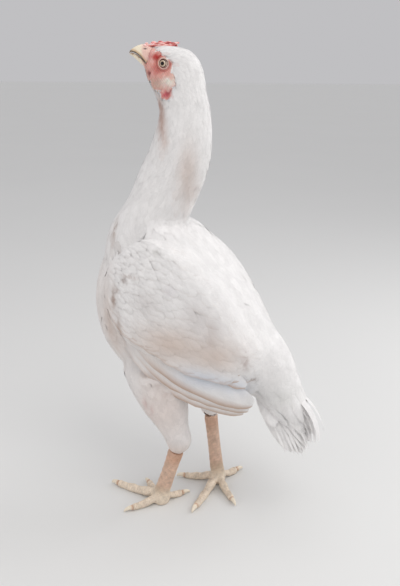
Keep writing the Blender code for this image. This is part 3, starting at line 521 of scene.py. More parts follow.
# Soft tints of the plumage, with painted shadow under the folded wing's lower edge among them: place
# and reach in millimetres, colour, strength, and whether both sides carry it
PLUMAGE_TINTS_AND_SHADOWS = (
    ((60, -112, 262), (22, 14, 60), (206, 184, 170), 0.75, True),
    ((20, -140, 285), (50, 20, 70), (224, 208, 198), 0.45, True),
    ((75, -20, 258), (30, 44, 24), (214, 196, 184), 0.85, True),
    ((66, 34, 248), (30, 32, 22), (212, 195, 184), 0.80, True),
    ((68, 22, 285), (30, 22, 18), (218, 212, 210), 0.60, True),
    ((67, 14, 214), (30, 34, 13), (214, 222, 234), 0.85, True),
    ((60, 56, 207), (30, 20, 10), (216, 222, 232), 0.75, True),
    ((48, 76.5, 215), (26, 4, 2.8), (96, 74, 64), 0.90, True),
    ((72, -95.5, 306), (14, 3, 14), (150, 122, 106), 0.80, True),
    ((70, -88.5, 262), (20, 3.4, 26), (146, 116, 98), 0.75, True),
    ((64, -79, 228), (20, 5, 14), (150, 120, 104), 0.65, True),
    ((73, -80, 332.5), (10, 4, 3.4), (120, 92, 80), 0.85, True),
    ((73, -70, 337.5), (10, 11, 1.4), (168, 146, 134), 0.70, True),
    ((72, -90, 318), (10, 3.4, 3.4), (140, 112, 98), 0.60, True),
    ((73, -20, 326), (10, 6, 6), (206, 202, 204), 0.70, True),
    # Painted shadow under the folded wing's lower edge, on the feathers of breast and thigh there
    ((64, -57, 205), (14, 9.5, 3.4), (128, 96, 78), 0.80, True),
    ((64, -42, 194), (14, 9.5, 3.4), (122, 90, 72), 0.90, True),
    ((64, -27, 183), (14, 9.5, 3.4), (128, 96, 78), 0.80, True),
    ((63, -62, 164), (14, 3.6, 9), (190, 118, 108), 0.85, True),
    ((64, -52, 158), (14, 2, 8), (186, 114, 106), 0.80, True),
    ((56, -42, 165), (34, 42, 56), (226, 210, 202), 0.75, True),
    ((44, -27, 96), (24, 30, 13), (214, 178, 154), 0.60, True),
    ((58.5, 69, 243), (16, 2, 11), (150, 118, 108), 0.60, True),
    ((72, -48, 308), (20, 15, 13), (208, 202, 200), 0.65, True),
    ((70, 10, 300), (20, 12, 14), (212, 206, 204), 0.60, True),
    ((64, 30, 270), (20, 6, 18), (208, 196, 190), 0.60, True),
    ((24, -16, 460), (12, 10, 30), (208, 190, 180), 0.80, False),
    ((14, -15, 432), (14, 8, 22), (204, 188, 180), 0.70, False),
    ((10, -12, 434.8), (6, 2.6, 2.6), (150, 140, 136), 0.60, False),
    ((19, -42.4, 374), (14, 11, 10), (202, 188, 180), 0.80, False),
    ((62, -40.2, 367.8), (8, 4.4, 3), (128, 126, 116), 0.75, True),
    ((20.3, -54.5, 530), (8, 6, 13), (166, 118, 98), 0.95, False),
    ((23.6, -49.5, 513), (8, 5.6, 12), (176, 134, 116), 0.92, False),
    ((27, -44, 494), (7, 4.6, 12), (206, 180, 168), 0.65, False),
    ((12, 105, 190), (40, 20, 14), (216, 216, 212), 0.60, True),
    ((34, -112, 384), (12, 3.2, 19), (158, 130, 114), 0.85, False),
)


def mottle(points, size, turn=0.0):
    """A soft even pattern between -1 and 1, whose patches are about this size."""
    total = np.zeros(points.shape[:-1])
    for i in range(7):
        tilts = (2.3 * i + 0.7 + turn, 3.1 * i + 1.9, 1.7 * i + 4.1 + turn)
        way = np.array([math.sin(tilt) for tilt in tilts])
        way /= np.linalg.norm(way)
        total += np.sin(points @ way * (2.2 + 0.5 * i) / size + 2.4 * i + turn)
    return total / 3.2


def tinted(colours, gap, colour, strength):
    """Mixes in a stain, painted shade or painted highlight, strongest where the gap, in its own half sizes,
    is nought.
    """
    share = strength * np.exp(-gap ** 2)
    return colours + (from_srgb(*colour) - colours) * share[..., None]


def toning(points, *patterns):
    """Lighter and darker patches, from the strength, size and turn of each pattern."""
    return 1 + sum(strength * mottle(points, size, turn) for strength, size, turn in patterns)


def markings_and_shade(points):
    """The colour of skin and feathers at these places, the same for both, painted shade and highlights
    included.
    """
    points = np.asarray(points, float)
    wobble = np.stack([mottle(points, WOBBLE_SIZE, turn) for turn in WOBBLE_TURNS], -1)
    loose = points + wobble * WOBBLE
    colours = np.tile(from_srgb(*PLUMAGE), (*points.shape[:-1], 1))
    colours = colours * toning(points, *PLUMAGE_PATTERNS)[..., None]
    # Plumage tints, with the painted shadow under the wing among them
    for place, reach, colour, strength, both in PLUMAGE_TINTS_AND_SHADOWS:
        here = loose * np.where(both & (loose[..., :1] < 0), (-1, 1, 1), (1, 1, 1))
        gap = np.linalg.norm((here * 1000 - place) / np.array(reach), axis=-1)
        colours = tinted(colours, gap, colour, strength)
    bare = bareness(loose)
    ahead, up, left = head_place(loose)
    skin = np.tile(from_srgb(*BARE_SKIN), (*points.shape[:-1], 1))
    # Skin tints, with painted shade and painted highlights among them
    for *place, colour, strength in FACE_TINTS_AND_SHADING:
        skin = tinted(skin, oval(ahead, up, *place), colour, strength)
    skin = skin * toning(points, *SKIN_PATTERNS)[..., None]
    reach = oval(*head_place(points)[:2], *LID_OVAL)
    for middle, width, colour in LID_RINGS:
        skin = tinted(skin, (reach - middle) / width, colour, LID_STRENGTH)
    return np.clip(colours + (skin - colours) * bare[..., None], 0, 1)


def colour_in(thing, colours):
    """Gives a piece a colour at each of its points, for its material to read."""
    layer = thing.data.color_attributes.new("colour_in", "FLOAT_COLOR", "POINT")
    colours = np.column_stack([colours, np.ones(len(colours))])
    layer.data.foreach_set("color", colours.astype(np.float32).ravel())


leg_nodes = [frame["nodes"][name] for name in ("shank_left", "shank_right", "foot_left", "foot_right")]
body_tree, body_form, leg_tree = tree_of(body), form_of(body), tree_of(body, *leg_nodes)
head = twin("head_skin", "head", "neck")
edit(head, bpy.ops.mesh.bisect, plane_co=(0, 0, HEAD_CUT), plane_no=(0, 0, 1), use_fill=True,
     clear_inner=True)
knead(head, HEAD_VOXEL, factor=0.5, rounds=6)

# Lids stand round each eye in two rims, and the dewlap and the cheek are creased
LID_RIMS = ((0.90, 0.10, 0.55), (1.03, 0.06, -0.35), (1.16, 0.10, 0.45), (1.30, 0.07, -0.30))
DEWLAP_CREASE, CHEEK_CREASE, CHEEK_FROM_EYE, LIDS_FROM_MIDDLE = 0.45, 0.16, 1.35, 8
DEWLAP, EAR_LOBE = (21, -1, 6, 6), (17, 12, 7, 6)
# The skin sinks under the feathers, more at the neck, where head and body overlap
HEAD_SINK, HEAD_SINK_BAND = 0.0075, (HEAD_CUT + 0.003, HEAD_CUT + 0.018)
NECK_SINK, NECK_SINK_BAND = 0.002, (0.525, 0.545)
places, outs = points_of(head), outs_of(head)
ahead, up, left = head_place(places)
bare = bareness(places)
reach = oval(ahead, up, *LID_OVAL)
rise = np.zeros(len(places))
for middle, width, height in LID_RIMS:
    rise += height * np.exp(-((reach - middle) / width) ** 2) * (np.abs(left) > LIDS_FROM_MIDDLE)
dewlap, lobe = (np.exp(-oval(ahead, up, *place) ** 2) for place in (DEWLAP, EAR_LOBE))
rise += DEWLAP_CREASE * dewlap * mottle(places * (1, 1, 0.6), 0.0022, 0.4)
rise += CHEEK_CREASE * bare * (1 - lobe) * (reach > CHEEK_FROM_EYE) * mottle(places, 0.0014, 1.7)
shaped = places + outs * (rise * 0.001)[:, None]
move_points(head, shaped)
head_tree, head_form = tree_of(head), form_of(head)
sink = HEAD_FEATHER_DEPTH * (1 - bare)
sink += HEAD_SINK * (1 - fade(places[:, 2], *HEAD_SINK_BAND))
move_points(head, shaped - outs * sink[:, None])

places, outs = points_of(body), outs_of(body)
sink = FEATHER_DEPTH + NECK_SINK * fade(places[:, 2], *NECK_SINK_BAND)
move_points(body, places - outs * sink[:, None])
pick(body, head)
bpy.ops.object.join()
skin = body
skin.name = "skin"
colour_in(skin, markings_and_shade(points_of(skin)))


def new_group(title, given, *results):
    """A node group with one number in and some out: the group, its input, and its last node."""
    group = bpy.data.node_groups.new(title, "ShaderNodeTree")
    group.interface.new_socket(given, in_out="INPUT", socket_type="NodeSocketFloat")
    for name in results:
        group.interface.new_socket(name, in_out="OUTPUT", socket_type="NodeSocketFloat")
    return group, put(group, "NodeGroupInput").outputs[given], put(group, "NodeGroupOutput")


def reckon(tree, operation, *terms):
    """A sum of sockets or numbers, as a value."""
    return put(tree, "Math", dict(enumerate(terms)), operation=operation).outputs[0]


# Fine creases and pores, from the place on the object, as a height
wrinkles, size, result = new_group("wrinkles", "Size", "Height")
place = put(wrinkles, "TexCoord").outputs["Object"]
cells = put(wrinkles, "TexVoronoi", {"Vector": place, "Scale": size}, feature="DISTANCE_TO_EDGE")
creases = reckon(wrinkles, "ADD", cells.outputs["Distance"], soft_noise(wrinkles, size, 5.0))
wrinkles.links.new(creases, result.inputs["Height"])


def wrinkled(tree, size):
    return put(tree, "Group", {"Size": size}, node_tree=wrinkles).outputs["Height"]


def coloured_finish(title):
    """A new material, its node tree, and the colour at its piece's points, painted shade included."""
    finish, tree = finish_of(title)
    return finish, tree, put(tree, "Attribute", attribute_name="colour_in").outputs["Color"]


CRISP_ANGLE, RELIEF_DEPTH, FINE_RELIEF_DEPTH = 60, 0.0003, 0.0002


def dress(piece, finish, slot, *nodes, crisp=False):
    """Last steps of a piece: its finish, smooth or crisp at the rims, and its place on the bird."""
    piece.data.materials.append(finish)
    pick(piece)
    if crisp:
        bpy.ops.object.shade_smooth_by_angle(angle=math.radians(CRISP_ANGLE))
    else:
        bpy.ops.object.shade_smooth()
    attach(piece, "root")
    if nodes:
        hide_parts(*nodes)


skin_finish, tree, colour = coloured_finish("bird_skin")
surface(tree, colour, (wrinkled(tree, 900.0), 0.35, RELIEF_DEPTH), Roughness=0.52, Subsurface_Weight=0.12,
        Subsurface_Scale=0.002)
dress(skin, skin_finish, "plumage", "torso", "neck", "head", "thigh_left", "thigh_right")


# Body feathers: small soft leaves that grow from the skin and lie back over each other, tiny on
# the head, narrow on the neck and thighs, broad on breast, back and belly. Each is a thin closed
# leaf, pressed to the bird's form, and takes the skin's colour at its root.
FEATHER_ROWS, FEATHER_STATIONS = 6, (0.0, 0.2, 0.42, 0.64, 0.84, 1.0)
BROAD_OUTLINE = (0.40, 0.74, 0.96, 1.0, 0.82, 0.34)
NARROW_OUTLINE = (0.45, 0.80, 1.0, 0.95, 0.66, 0.14)
SPOT, WRAP_SHARE, WRAP_HEIGHT = 0.003, 0.98, 0.62
ROOT_SHARE, LIE_CURVE = 0.35, 1.6
TRIES, ROOM = 9, 0.92
LENGTHS, HALF_WIDTHS, LIFTS, TINTS = (0.88, 1.14), (0.88, 1.12), (-0.00015, 0.00015), (0.955, 1.03)
ROOT_SHADE, ROOT_SHADE_BAND = 0.05, (0.1, 0.75)
# A leaf is left out where it turns its edge up, bends too far, or reaches the bare skin
FACING_LEAST, BEND_LEAST, BARE_MOST = 0.45, 0.10, 0.45
OVER_RUMP, DOWN_BREAST, DOWN_NECK, DOWN = (0, 0.56, -0.83), (0, 0.10, -0.99), (0, -0.37, -0.93), (0, 0, -1)
# Where the lie turns from one way to the next: back of the base, up, or off a thigh's axis
TO_RUMP, TO_BREAST, BREAST_TOP, TO_UPRIGHT = (0.045, 0.105), (0.060, 0.110), (0.22, 0.28), (0.47, 0.51)
TO_NECK, TO_HEAD, TO_THIGH, TO_THIGH_TOP = (0.355, 0.425), (0.525, 0.565), (0.024, 0.040), (0.19, 0.235)
HEAD_LOW, HEAD_LOW_SHARE = (-46, -8), 0.75
# Where each kind grows: heights, reach from a thigh's axis, and shares of the wing that stay free
HEAD_FROM, NECK_BAND, TRUNK_TO, THIGH_FROM, BARE_LEAST = 0.536, (0.366, 0.545), 0.384, 0.091, 0.25
THIGH_REACH, THIGH_TOP, MANTLE_ENDS = 0.036, 0.20, (-0.169, 0.134)
# Spacing of the roots, and how much wider or finer it is on one side of a height
HEAD_SPACING = 0.0024
NECK_SPACING, NECK_WIDER, NECK_TURN = 0.0032, 0.0024, (0.42, 0.52)
TRUNK_SPACING, TRUNK_FINER, TRUNK_TURN = 0.0074, 0.0014, (0.32, 0.39)
THIGH_SPACING, THIGH_WIDER, THIGH_TURN = 0.0038, 0.0018, (0.11, 0.19)
WING_FREE_DISC, WING_FREE_HEIGHT = 0.86, 0.80
# The middle line of the bird, that the map of its coat is wrapped round
AXIS_HEIGHTS = (0.0, 0.20, 0.30, 0.37, 0.45, 0.50, 0.55, 0.60)
AXIS_BACKS = tuple(BASE.y + y for y in (0.0, 0.02, -0.02, -0.045, -0.020, -0.004, -0.012, -0.020))
# Each kind: outline, columns, length and half width for a spacing of 1, skin depth, edge droop,
# thickness, and how far the lie wanders, in radians
FEATHER_KINDS = {
    "head": (NARROW_OUTLINE, 3, 4.2, 0.86, 0.0006, 0.00004, 0.00010, 0.10),
    "neck": (NARROW_OUTLINE, 3, 5.8, 0.92, 0.0012, 0.00008, 0.00014, 0.08),
    "body": (BROAD_OUTLINE, 5, 3.8, 0.95, 0.0017, 0.00022, 0.00022, 0.12),
    "thigh": (BROAD_OUTLINE, 3, 4.0, 0.85, 0.0016, 0.00018, 0.00020, 0.12),
}


def unit(way):
    return way / np.linalg.norm(way, axis=-1, keepdims=True)


def blend(first, second, share):
    """From one way or colour to another, by the share at each point."""
    share = share[:, None]
    return np.asarray(first) * (1 - share) + np.asarray(second) * share


def lie(points):
    """The way the coat lies: back over the head, down the neck, back over the trunk, down the legs."""
    height = points[:, 2]
    back = points[:, 1] - BASE.y
    trunk = blend(-TRUNK_AHEAD, OVER_RUMP, fade(back, *TO_RUMP))
    trunk = blend(trunk, DOWN_BREAST, fade(-back, *TO_BREAST) * fade(height, *BREAST_TOP))
    neck = blend(DOWN_NECK, DOWN, fade(height, *TO_UPRIGHT))
    low = fade((HEAD_FOOT.z - height) * 1000, *HEAD_LOW)[:, None]
    head = -np.array(HEAD_AHEAD) * (1 - HEAD_LOW_SHARE * low) + np.array(DOWN) * low
    way = blend(trunk, neck, fade(height, *TO_NECK))
    way = blend(way, head, fade(height, *TO_HEAD))
    for start, end in THIGHS:
        at_thigh = 1 - fade(axis_gap(points, start, end), *TO_THIGH)
        at_thigh = at_thigh * (1 - fade(height, *TO_THIGH_TOP))
        way = blend(way, unit(np.array(end) - np.array(start)), at_thigh)
    return unit(way)


def nearest(tree, points):
    """The nearest places on a surface, and the ways out of it there."""
    places, outs = np.empty_like(points), np.empty_like(points)
    for i, point in enumerate(points):
        places[i], outs[i] = tree.find_nearest(point)[:2]
    return places, outs


def scatter(thing_points, triangles, spacing_of, seed):
    """Roots spread evenly over some triangles, as far apart as spacing_of says at each place."""
    rng = np.random.default_rng(seed)
    corners = thing_points[triangles]
    middles = corners.mean(1)
    wanted = spacing_of(middles)
    size = np.cross(corners[:, 1] - corners[:, 0], corners[:, 2] - corners[:, 0])
    size = np.linalg.norm(size, axis=1) / 2
    weight = np.where(wanted > 0, size / np.maximum(wanted, 1e-4) ** 2, 0)
    count = int(weight.sum() * TRIES)
    chosen = rng.choice(len(triangles), count, p=weight / weight.sum())
    a, b = rng.random(count), rng.random(count)
    flip = a + b > 1
    a[flip], b[flip] = 1 - a[flip], 1 - b[flip]
    first, second, third = (corners[chosen, i] for i in range(3))
    roots = first * (1 - a - b)[:, None] + second * a[:, None] + third * b[:, None]
    spacing = spacing_of(roots)
    roots, spacing = roots[spacing > 0], spacing[spacing > 0]
    cell = spacing.max()
    keys = np.floor(roots / cell).astype(int)
    taken, kept = {}, []
    near = [(i, j, k) for i in (-1, 0, 1) for j in (-1, 0, 1) for k in (-1, 0, 1)]
    for n, (x, y, z) in enumerate(roots):
        i, j, k = keys[n]
        room = (spacing[n] * ROOM) ** 2
        others = (root for di, dj, dk in near for root in taken.get((i + di, j + dj, k + dk), ()))
        if all((px - x) ** 2 + (py - y) ** 2 + (pz - z) ** 2 >= room for px, py, pz in others):
            taken.setdefault((i, j, k), []).append((x, y, z))
            kept.append(n)
    return roots[kept], spacing[kept]


def with_under(grids):
    """Each leaf's upper grid as a list, followed by the inner points that its under side repeats."""
    parts = (grids, grids[:, 1:-1, 1:-1])
    return np.concatenate([part.reshape(len(grids), -1, grids.shape[3]) for part in parts], 1)


def leaves(title, tops, outs, thickness, spots, point_colours, sizes):
    """Many thin closed leaves as one mesh. tops and outs are rows by columns of places and ways out."""
    count, rows, columns = tops.shape[:3]
    inner = tops[:, 1:-1, 1:-1] - outs[:, 1:-1, 1:-1] * thickness
    top_count, inner_count = rows * columns, (rows - 2) * (columns - 2)
    points = np.concatenate([tops.reshape(count, -1, 3), inner.reshape(count, -1, 3)], 1)
    top = np.arange(top_count).reshape(rows, columns)
    under = top.copy()
    under[1:-1, 1:-1] = top_count + np.arange(inner_count).reshape(rows - 2, columns - 2)
    quads = []
    for sheet, turned in ((top, False), (under, True)):
        for r in range(rows - 1):
            for c in range(columns - 1):
                quad = (sheet[r, c], sheet[r, c + 1], sheet[r + 1, c + 1], sheet[r + 1, c])
                quads.append(quad[::-1] if turned else quad)
    quads = np.array(quads)
    each = top_count + inner_count
    faces = quads[None] + (np.arange(count) * each)[:, None, None]
    run, reach = tops[:, 3, 1] - tops[:, 1, 1], tops[:, 2, -1] - tops[:, 2, 0]
    inward = (np.cross(reach, run) * outs[:, 2, 1]).sum(-1) < 0
    faces[inward] = faces[inward][:, :, ::-1]
    thing = mesh_from(title, points.reshape(-1, 3), faces.reshape(-1, 4).tolist())
    mesh = thing.data
    ends = np.zeros(len(mesh.edges) * 2, int)
    mesh.edges.foreach_get("vertices", ends)
    rim = np.ones(each, bool)
    rim[top[1:-1, 1:-1]] = False
    rim[top_count:] = False
    crisp = mesh.attributes.new("sharp_edge", "BOOLEAN", "EDGE")
    crisp.data.foreach_set("value", rim[ends % each].reshape(-1, 2).all(1))
    loops = np.zeros(len(mesh.loops), int)
    mesh.loops.foreach_get("vertex_index", loops)
    across = np.linspace(-1, 1, columns)
    along = np.linspace(0, 1, rows)
    grid = np.stack(np.broadcast_arrays(across[None, :], along[:, None]), -1)
    local = np.concatenate([grid.reshape(-1, 2), grid[1:-1, 1:-1].reshape(-1, 2)])
    place = np.tile(local, (count, 1))
    owner = np.repeat(np.arange(count), each)
    bake = mesh.uv_layers.new(name="OFBake")
    patch = spots[owner] + place * (SPOT / 2, SPOT) - (0, SPOT / 2)
    bake.data.foreach_set("uv", patch[loops].astype(np.float32).ravel())
    vane = mesh.uv_layers.new(name="vane")
    vane.data.foreach_set("uv", (place * sizes[owner] * 1000)[loops].astype(np.float32).ravel())
    mesh.uv_layers.active = bake
    colour_in(thing, point_colours.reshape(-1, 3))
    return thing


def press(tree, roots, way_of, swing, length, half_width, outline, columns, depth, tip_lift, droop):
    """Lays leaves on a surface from their roots: they rise from the depth to the surface at the tip."""
    count = len(roots)
    places, outs = nearest(tree, roots)
    tops = np.empty((count, FEATHER_ROWS, columns, 3))
    ways_out = np.empty_like(tops)
    before = 0.0
    for r, t in enumerate(FEATHER_STATIONS):
        way = way_of(places)
        way = unit(way - outs * (way * outs).sum(1)[:, None])
        side = np.cross(outs, way)
        way = unit(way * np.cos(swing)[:, None] + side * np.sin(swing)[:, None])
        if r:
            places, outs = nearest(tree, places + way * (length * (t - before))[:, None])
            way = unit(way - outs * (way * outs).sum(1)[:, None])
        side = np.cross(outs, way)
        before = t
        rise = math.sin(math.pi / 2 * t)
        lift = tip_lift * rise - depth * (1 - rise) ** LIE_CURVE
        for c, cut in enumerate(np.linspace(-1, 1, columns)):
            reach = half_width * outline[r] * cut
            if cut == 0:
                spots, ups = places, outs
            else:
                spots, ups = nearest(tree, places + side * reach[:, None])
            fall = droop * cut * cut * (0.4 + 0.6 * t) + droop * 0.8 * (t == 1.0)
            tops[:, r, c] = spots + ups * (lift - fall)[:, None]
            ways_out[:, r, c] = ups
    return tops, ways_out


def coat(title, tree, roots, spacing, kind, seed):
    """Grows feathers of one kind from these roots, pressed along the surface as the coat lies."""
    outline, columns, length_share, width_share, depth, droop, thickness, wander = FEATHER_KINDS[kind]
    rng = np.random.default_rng(seed)
    count = len(roots)
    length = spacing * length_share * rng.uniform(*LENGTHS, count)
    half_width = spacing * width_share * rng.uniform(*HALF_WIDTHS, count)
    tops, ways_out = press(tree, roots, lie, rng.normal(0, wander, count), length, half_width, outline,
                           columns, depth, rng.uniform(*LIFTS, count), droop)
    middle = columns // 2
    facing = unit(np.cross(tops[:, 3, -1] - tops[:, 3, 0], tops[:, 4, 1] - tops[:, 1, 1]))
    clear = np.abs((facing * ways_out[:, 3, middle]).sum(-1)) > FACING_LEAST
    clear &= (ways_out[:, 0, middle] * ways_out[:, -1, middle]).sum(-1) > BEND_LEAST
    clear &= (ways_out[:, 3, 0] * ways_out[:, 3, -1]).sum(-1) > BEND_LEAST
    clear &= bareness(tops[:, -1, middle]) < BARE_MOST
    tops, ways_out, roots = tops[clear], ways_out[clear], roots[clear]
    sizes = np.stack([half_width[clear], length[clear]], -1)
    axis = np.interp(roots[:, 2], AXIS_HEIGHTS, AXIS_BACKS)
    turn = np.arctan2(roots[:, 0] - BASE.x, axis - roots[:, 1])
    spots = np.stack([0.5 + turn / (2 * math.pi) * WRAP_SHARE, roots[:, 2] / WRAP_HEIGHT], -1)
    own = markings_and_shade(with_under(tops))
    rooted = markings_and_shade(roots + nearest(tree, roots)[1] * depth)[:, None]
    tint = rooted * ROOT_SHARE + own * (1 - ROOT_SHARE)
    tint = tint * rng.uniform(*TINTS, (len(roots), 1, 1))
    along = np.tile(np.array(FEATHER_STATIONS)[None, :, None, None], (1, 1, columns, 1))
    tint = tint * (1 - ROOT_SHADE + ROOT_SHADE * fade(with_under(along), *ROOT_SHADE_BAND))
    return leaves(title, tops, ways_out, thickness, spots, np.clip(tint, 0, 1), sizes)


def read_mantle(points):
    """Distance ahead and angle on the mantle of places near it, and their share of its radius."""
    gap = points - np.array(TRUNK_CENTRE)
    ahead, up = gap @ np.array(TRUNK_AHEAD), gap @ np.array(TRUNK_UP)
    back, belly, half_width = np.moveaxis(station(MANTLE, np.clip(ahead, *MANTLE_ENDS)), -1, 0)
    high, wide = (up - (back + belly) / 2) / ((back - belly) / 2), np.abs(gap[..., 0]) / half_width
    return ahead, np.degrees(np.arctan2(high, wide)), np.hypot(high, wide)


def off_wing(points):
    """Whether a place is clear of the folded wings' muscle, which grows feathers of its own."""
    ahead, angle, share = read_mantle(points)
    x, y = bed_disc(ahead, angle)
    return ~((np.hypot(x, y) < WING_FREE_DISC) & (share > WING_FREE_HEIGHT))


def on_thigh(points):
    near = np.zeros(len(points), bool)
    for start, end in THIGHS:
        near |= (axis_gap(points, start, end) < THIGH_REACH) & (points[:, 2] < THIGH_TOP)
    return near


# Spacing of the roots at each place, 0 where the kind doesn't grow
def head_spacing(points):
    return np.where((points[:, 2] > HEAD_FROM) & (bareness(points) < BARE_LEAST), HEAD_SPACING, 0.0)


def neck_spacing(points):
    wide = NECK_SPACING + NECK_WIDER * (1 - fade(points[:, 2], *NECK_TURN))
    inside = (points[:, 2] > NECK_BAND[0]) & (points[:, 2] < NECK_BAND[1])
    return np.where(inside & (bareness(points) < BARE_LEAST), wide, 0.0)


def trunk_spacing(points):
    wide = TRUNK_SPACING - TRUNK_FINER * fade(points[:, 2], *TRUNK_TURN)
    return np.where((points[:, 2] < TRUNK_TO) & off_wing(points) & ~on_thigh(points), wide, 0.0)


def thigh_spacing(points):
    wide = THIGH_SPACING + THIGH_WIDER * fade(points[:, 2], *THIGH_TURN)
    return np.where(on_thigh(points) & (points[:, 2] > THIGH_FROM), wide, 0.0)


def remap(tree, value, low, high, to_low, to_high, **settings):
    """A value carried from one range to another."""
    feeds = {"Value": value, "From Min": low, "From Max": high, "To Min": to_low, "To Max": to_high}
    return put(tree, "MapRange", feeds, **settings).outputs[0]


# A feather's shaft and slanting barbs, from its own map in millimetres, as a height and a tone
BARB_SLANT, BARB_RISE, SHAFT_RISE, STREAK_STRETCH = -1.3, 0.16, 0.55, 0.22
barbs, pitch, result = new_group("feather_barbs", "Pitch", "Height", "Tone")
place = put(barbs, "UVMap", uv_map="vane").outputs[0]
parts = put(barbs, "SeparateXYZ", {0: place}).outputs
width = reckon(barbs, "ABSOLUTE", parts[0])
slant = reckon(barbs, "MULTIPLY_ADD", width, BARB_SLANT, parts[1])
turns = reckon(barbs, "DIVIDE", slant, pitch)
ripple = reckon(barbs, "SINE", reckon(barbs, "MULTIPLY", turns, 2 * math.pi))
thinner = reckon(barbs, "MULTIPLY", parts[0], STREAK_STRETCH)
streak_at = put(barbs, "CombineXYZ", {0: thinner, 1: slant}).outputs[0]
streak = put(barbs, "TexNoise", {"Vector": streak_at}, Scale=1.1, Detail=3.0).outputs["Fac"]
shaft = remap(barbs, width, 0.10, 0.38, 1.0, 0.0, interpolation_type="SMOOTHSTEP")
rough = reckon(barbs, "MULTIPLY_ADD", ripple, BARB_RISE, streak)
barbs.links.new(reckon(barbs, "MULTIPLY_ADD", shaft, SHAFT_RISE, rough), result.inputs["Height"])
barbs.links.new(remap(barbs, streak, 0.3, 0.7, 0.90, 1.03), result.inputs["Tone"])


def toned(tree, colour, tone):
    return put(tree, "VectorMath", {0: colour, "Scale": tone}, operation="SCALE").outputs[0]


def feather_finish(title, pitch, strength, roughness):
    """Matt white feather: the piece's own colours and painted shadows, toned and raised by its barbs, with a
    soft sheen.
    """
    finish, tree, colour = coloured_finish(title)
    vane = put(tree, "Group", {"Pitch": pitch}, node_tree=barbs).outputs
    relief = (vane["Height"], strength, RELIEF_DEPTH)
    surface(tree, toned(tree, colour, vane["Tone"]), relief, Roughness=roughness, Sheen_Weight=0.15,
            Sheen_Roughness=0.6, Specular_IOR_Level=0.25)
    return finish


down_finish = feather_finish("body_feathers", pitch=0.5, strength=0.35, roughness=0.8)
for title, kind, tree_used, form, spacing_of, seed in (
    ("head_feathers", "head", head_tree, head_form, head_spacing, 11),
    ("neck_feathers", "neck", body_tree, body_form, neck_spacing, 23),
    ("trunk_feathers", "body", body_tree, body_form, trunk_spacing, 37),
    ("thigh_feathers", "thigh", leg_tree, body_form, thigh_spacing, 41),
):
    roots, spacing = scatter(*form, spacing_of, seed)
    dress(coat(title, tree_used, roots, spacing, kind, seed + 1), down_finish, "plumage", crisp=True)


# Wings, folded: a smooth lobe of coverts, small at the shoulder and long behind, that lie back
# over three broad flight feathers along the lower edge and a fan of shorter ones behind. Every
# vane is thin and stiff, with a shaft, and its lower edge lies on the vane below it.
WING_LOWER = ((-0.124, 22), (-0.100, 11), (-0.078, 0), (-0.042, -11.8), (-0.006, -13.4), (0.022, -13.4),
              (0.050, -17.5), (0.080, -14.8), (0.100, 0), (0.116, 20))
WING_UPPER = ((-0.124, 24), (-0.114, 39), (-0.104, 53), (-0.086, 63), (0.022, 65), (0.048, 56),
              (0.080, 44), (0.100, 32), (0.116, 20))
WING_STACK, WING_STACK_EDGE, WING_DIVE = 0.0042, 0.0010, 0.0024
COVERT_ROWS, COVERT_COLUMNS = 6, 5
HUG_LEAST, HUG_FREE = 0.0003, 0.0080
COVERT_DEPTH, COVERT_THICKNESS = 0.0017, 0.00022
# Length and half width for a spacing of 1, the last tip allowed, and the mantle's mean radius
COVERT_LENGTH, COVERT_WIDTH, COVERT_LAST, MANTLE_RADIUS = 4.3, 0.98, -0.122, 0.072
COVERT_GRID, COVERT_AHEADS, COVERT_ANGLES = (60, 40), (-0.095, 0.116), (-20, 70)
COVERT_SWING, COVERT_DROP, COVERT_FAN, COVERT_MARGIN, COVERT_TOP_MARGIN = 0.07, 0.10, 0.42, 0.55, 0.3
COVERT_SPACING, COVERT_FINER, COVERT_TURN = 0.0092, 0.0052, (-0.03, 0.105)
COVERT_SIZES, COVERT_LIFTS, COVERT_TILT = (0.9, 1.1), (-0.0002, 0.0003), math.radians(0.8)
COVERT_BEND, COVERT_TIGHTER, TIGHTER_ABOVE = 0.055, 0.033, (42, 60)
# Strength of the painted shadow along the lower edge of the coverts, the lowest coverts and the flights
COVERT_EDGE_SHADOW, LOWEST_EDGE_SHADOW, LOWEST_BAND, FLIGHT_EDGE_SHADOW = 0.10, 0.35, (4, 9), 0.92
# Where the wing's surface thins to its edge and dives under it, and where the coverts lie free
THIN_ABOVE, THIN_BEHIND, DIVE_ABOVE, DIVE_BEHIND = (46, 64), (0.080, 0.122), (50, 66), (0.095, 0.125)
FREE_BELOW, FREE_AHEAD_OF, FREE_BEHIND = (33, 48), (0.080, 0.108), (0.084, 0.108)
FLIGHT_ROWS, FLIGHT_COLUMNS = 20, 7
FLIGHT_OUTLINE = ((0.0, 0.50), (0.12, 0.74), (0.40, 1.0), (0.78, 0.98), (0.88, 0.90), (0.94, 0.76),
                  (0.98, 0.50), (1.0, 0.22))
FLIGHT_THICKNESS, FLIGHT_TILT, FLIGHT_BEND = 0.0006, math.radians(6), 0.110
# Root ahead, root angle, tip ahead, tip angle, bow, half width and lift of each, lowest first
FLIGHTS = (
    (0.044, -17, -0.128, -25, -13, 0.0125, 0.0003), (0.047, -13, -0.131, -17, -12, 0.0120, 0.0008),
    (0.050, -8, -0.131, -5, -10, 0.0170, 0.0014),
    (0.040, 6, -0.112, 13, -4, 0.0115, 0.0014), (0.000, 12, -0.101, 16, -2, 0.0115, 0.0018),
    (-0.004, 20, -0.098, 23, -1, 0.0115, 0.0018), (-0.008, 28, -0.094, 30, 0, 0.0115, 0.0018),
)
# The painted shadow along each vane's lower edge: its tan colour, width and span along the vane
EDGE_PAINTED_SHADOW, EDGE_SHADOW_WIDTH, EDGE_SHADOW_BAND, VANE_TONES = (182, 150, 126), 0.36, (0.05, 0.3), (0.97, 1.03)
FRAY, SHAFT_RIDGE = 0.05, 0.0003


def read(table, where):
    """The second column of a table at these values of its first."""
    return np.interp(where, *np.array(table).T)


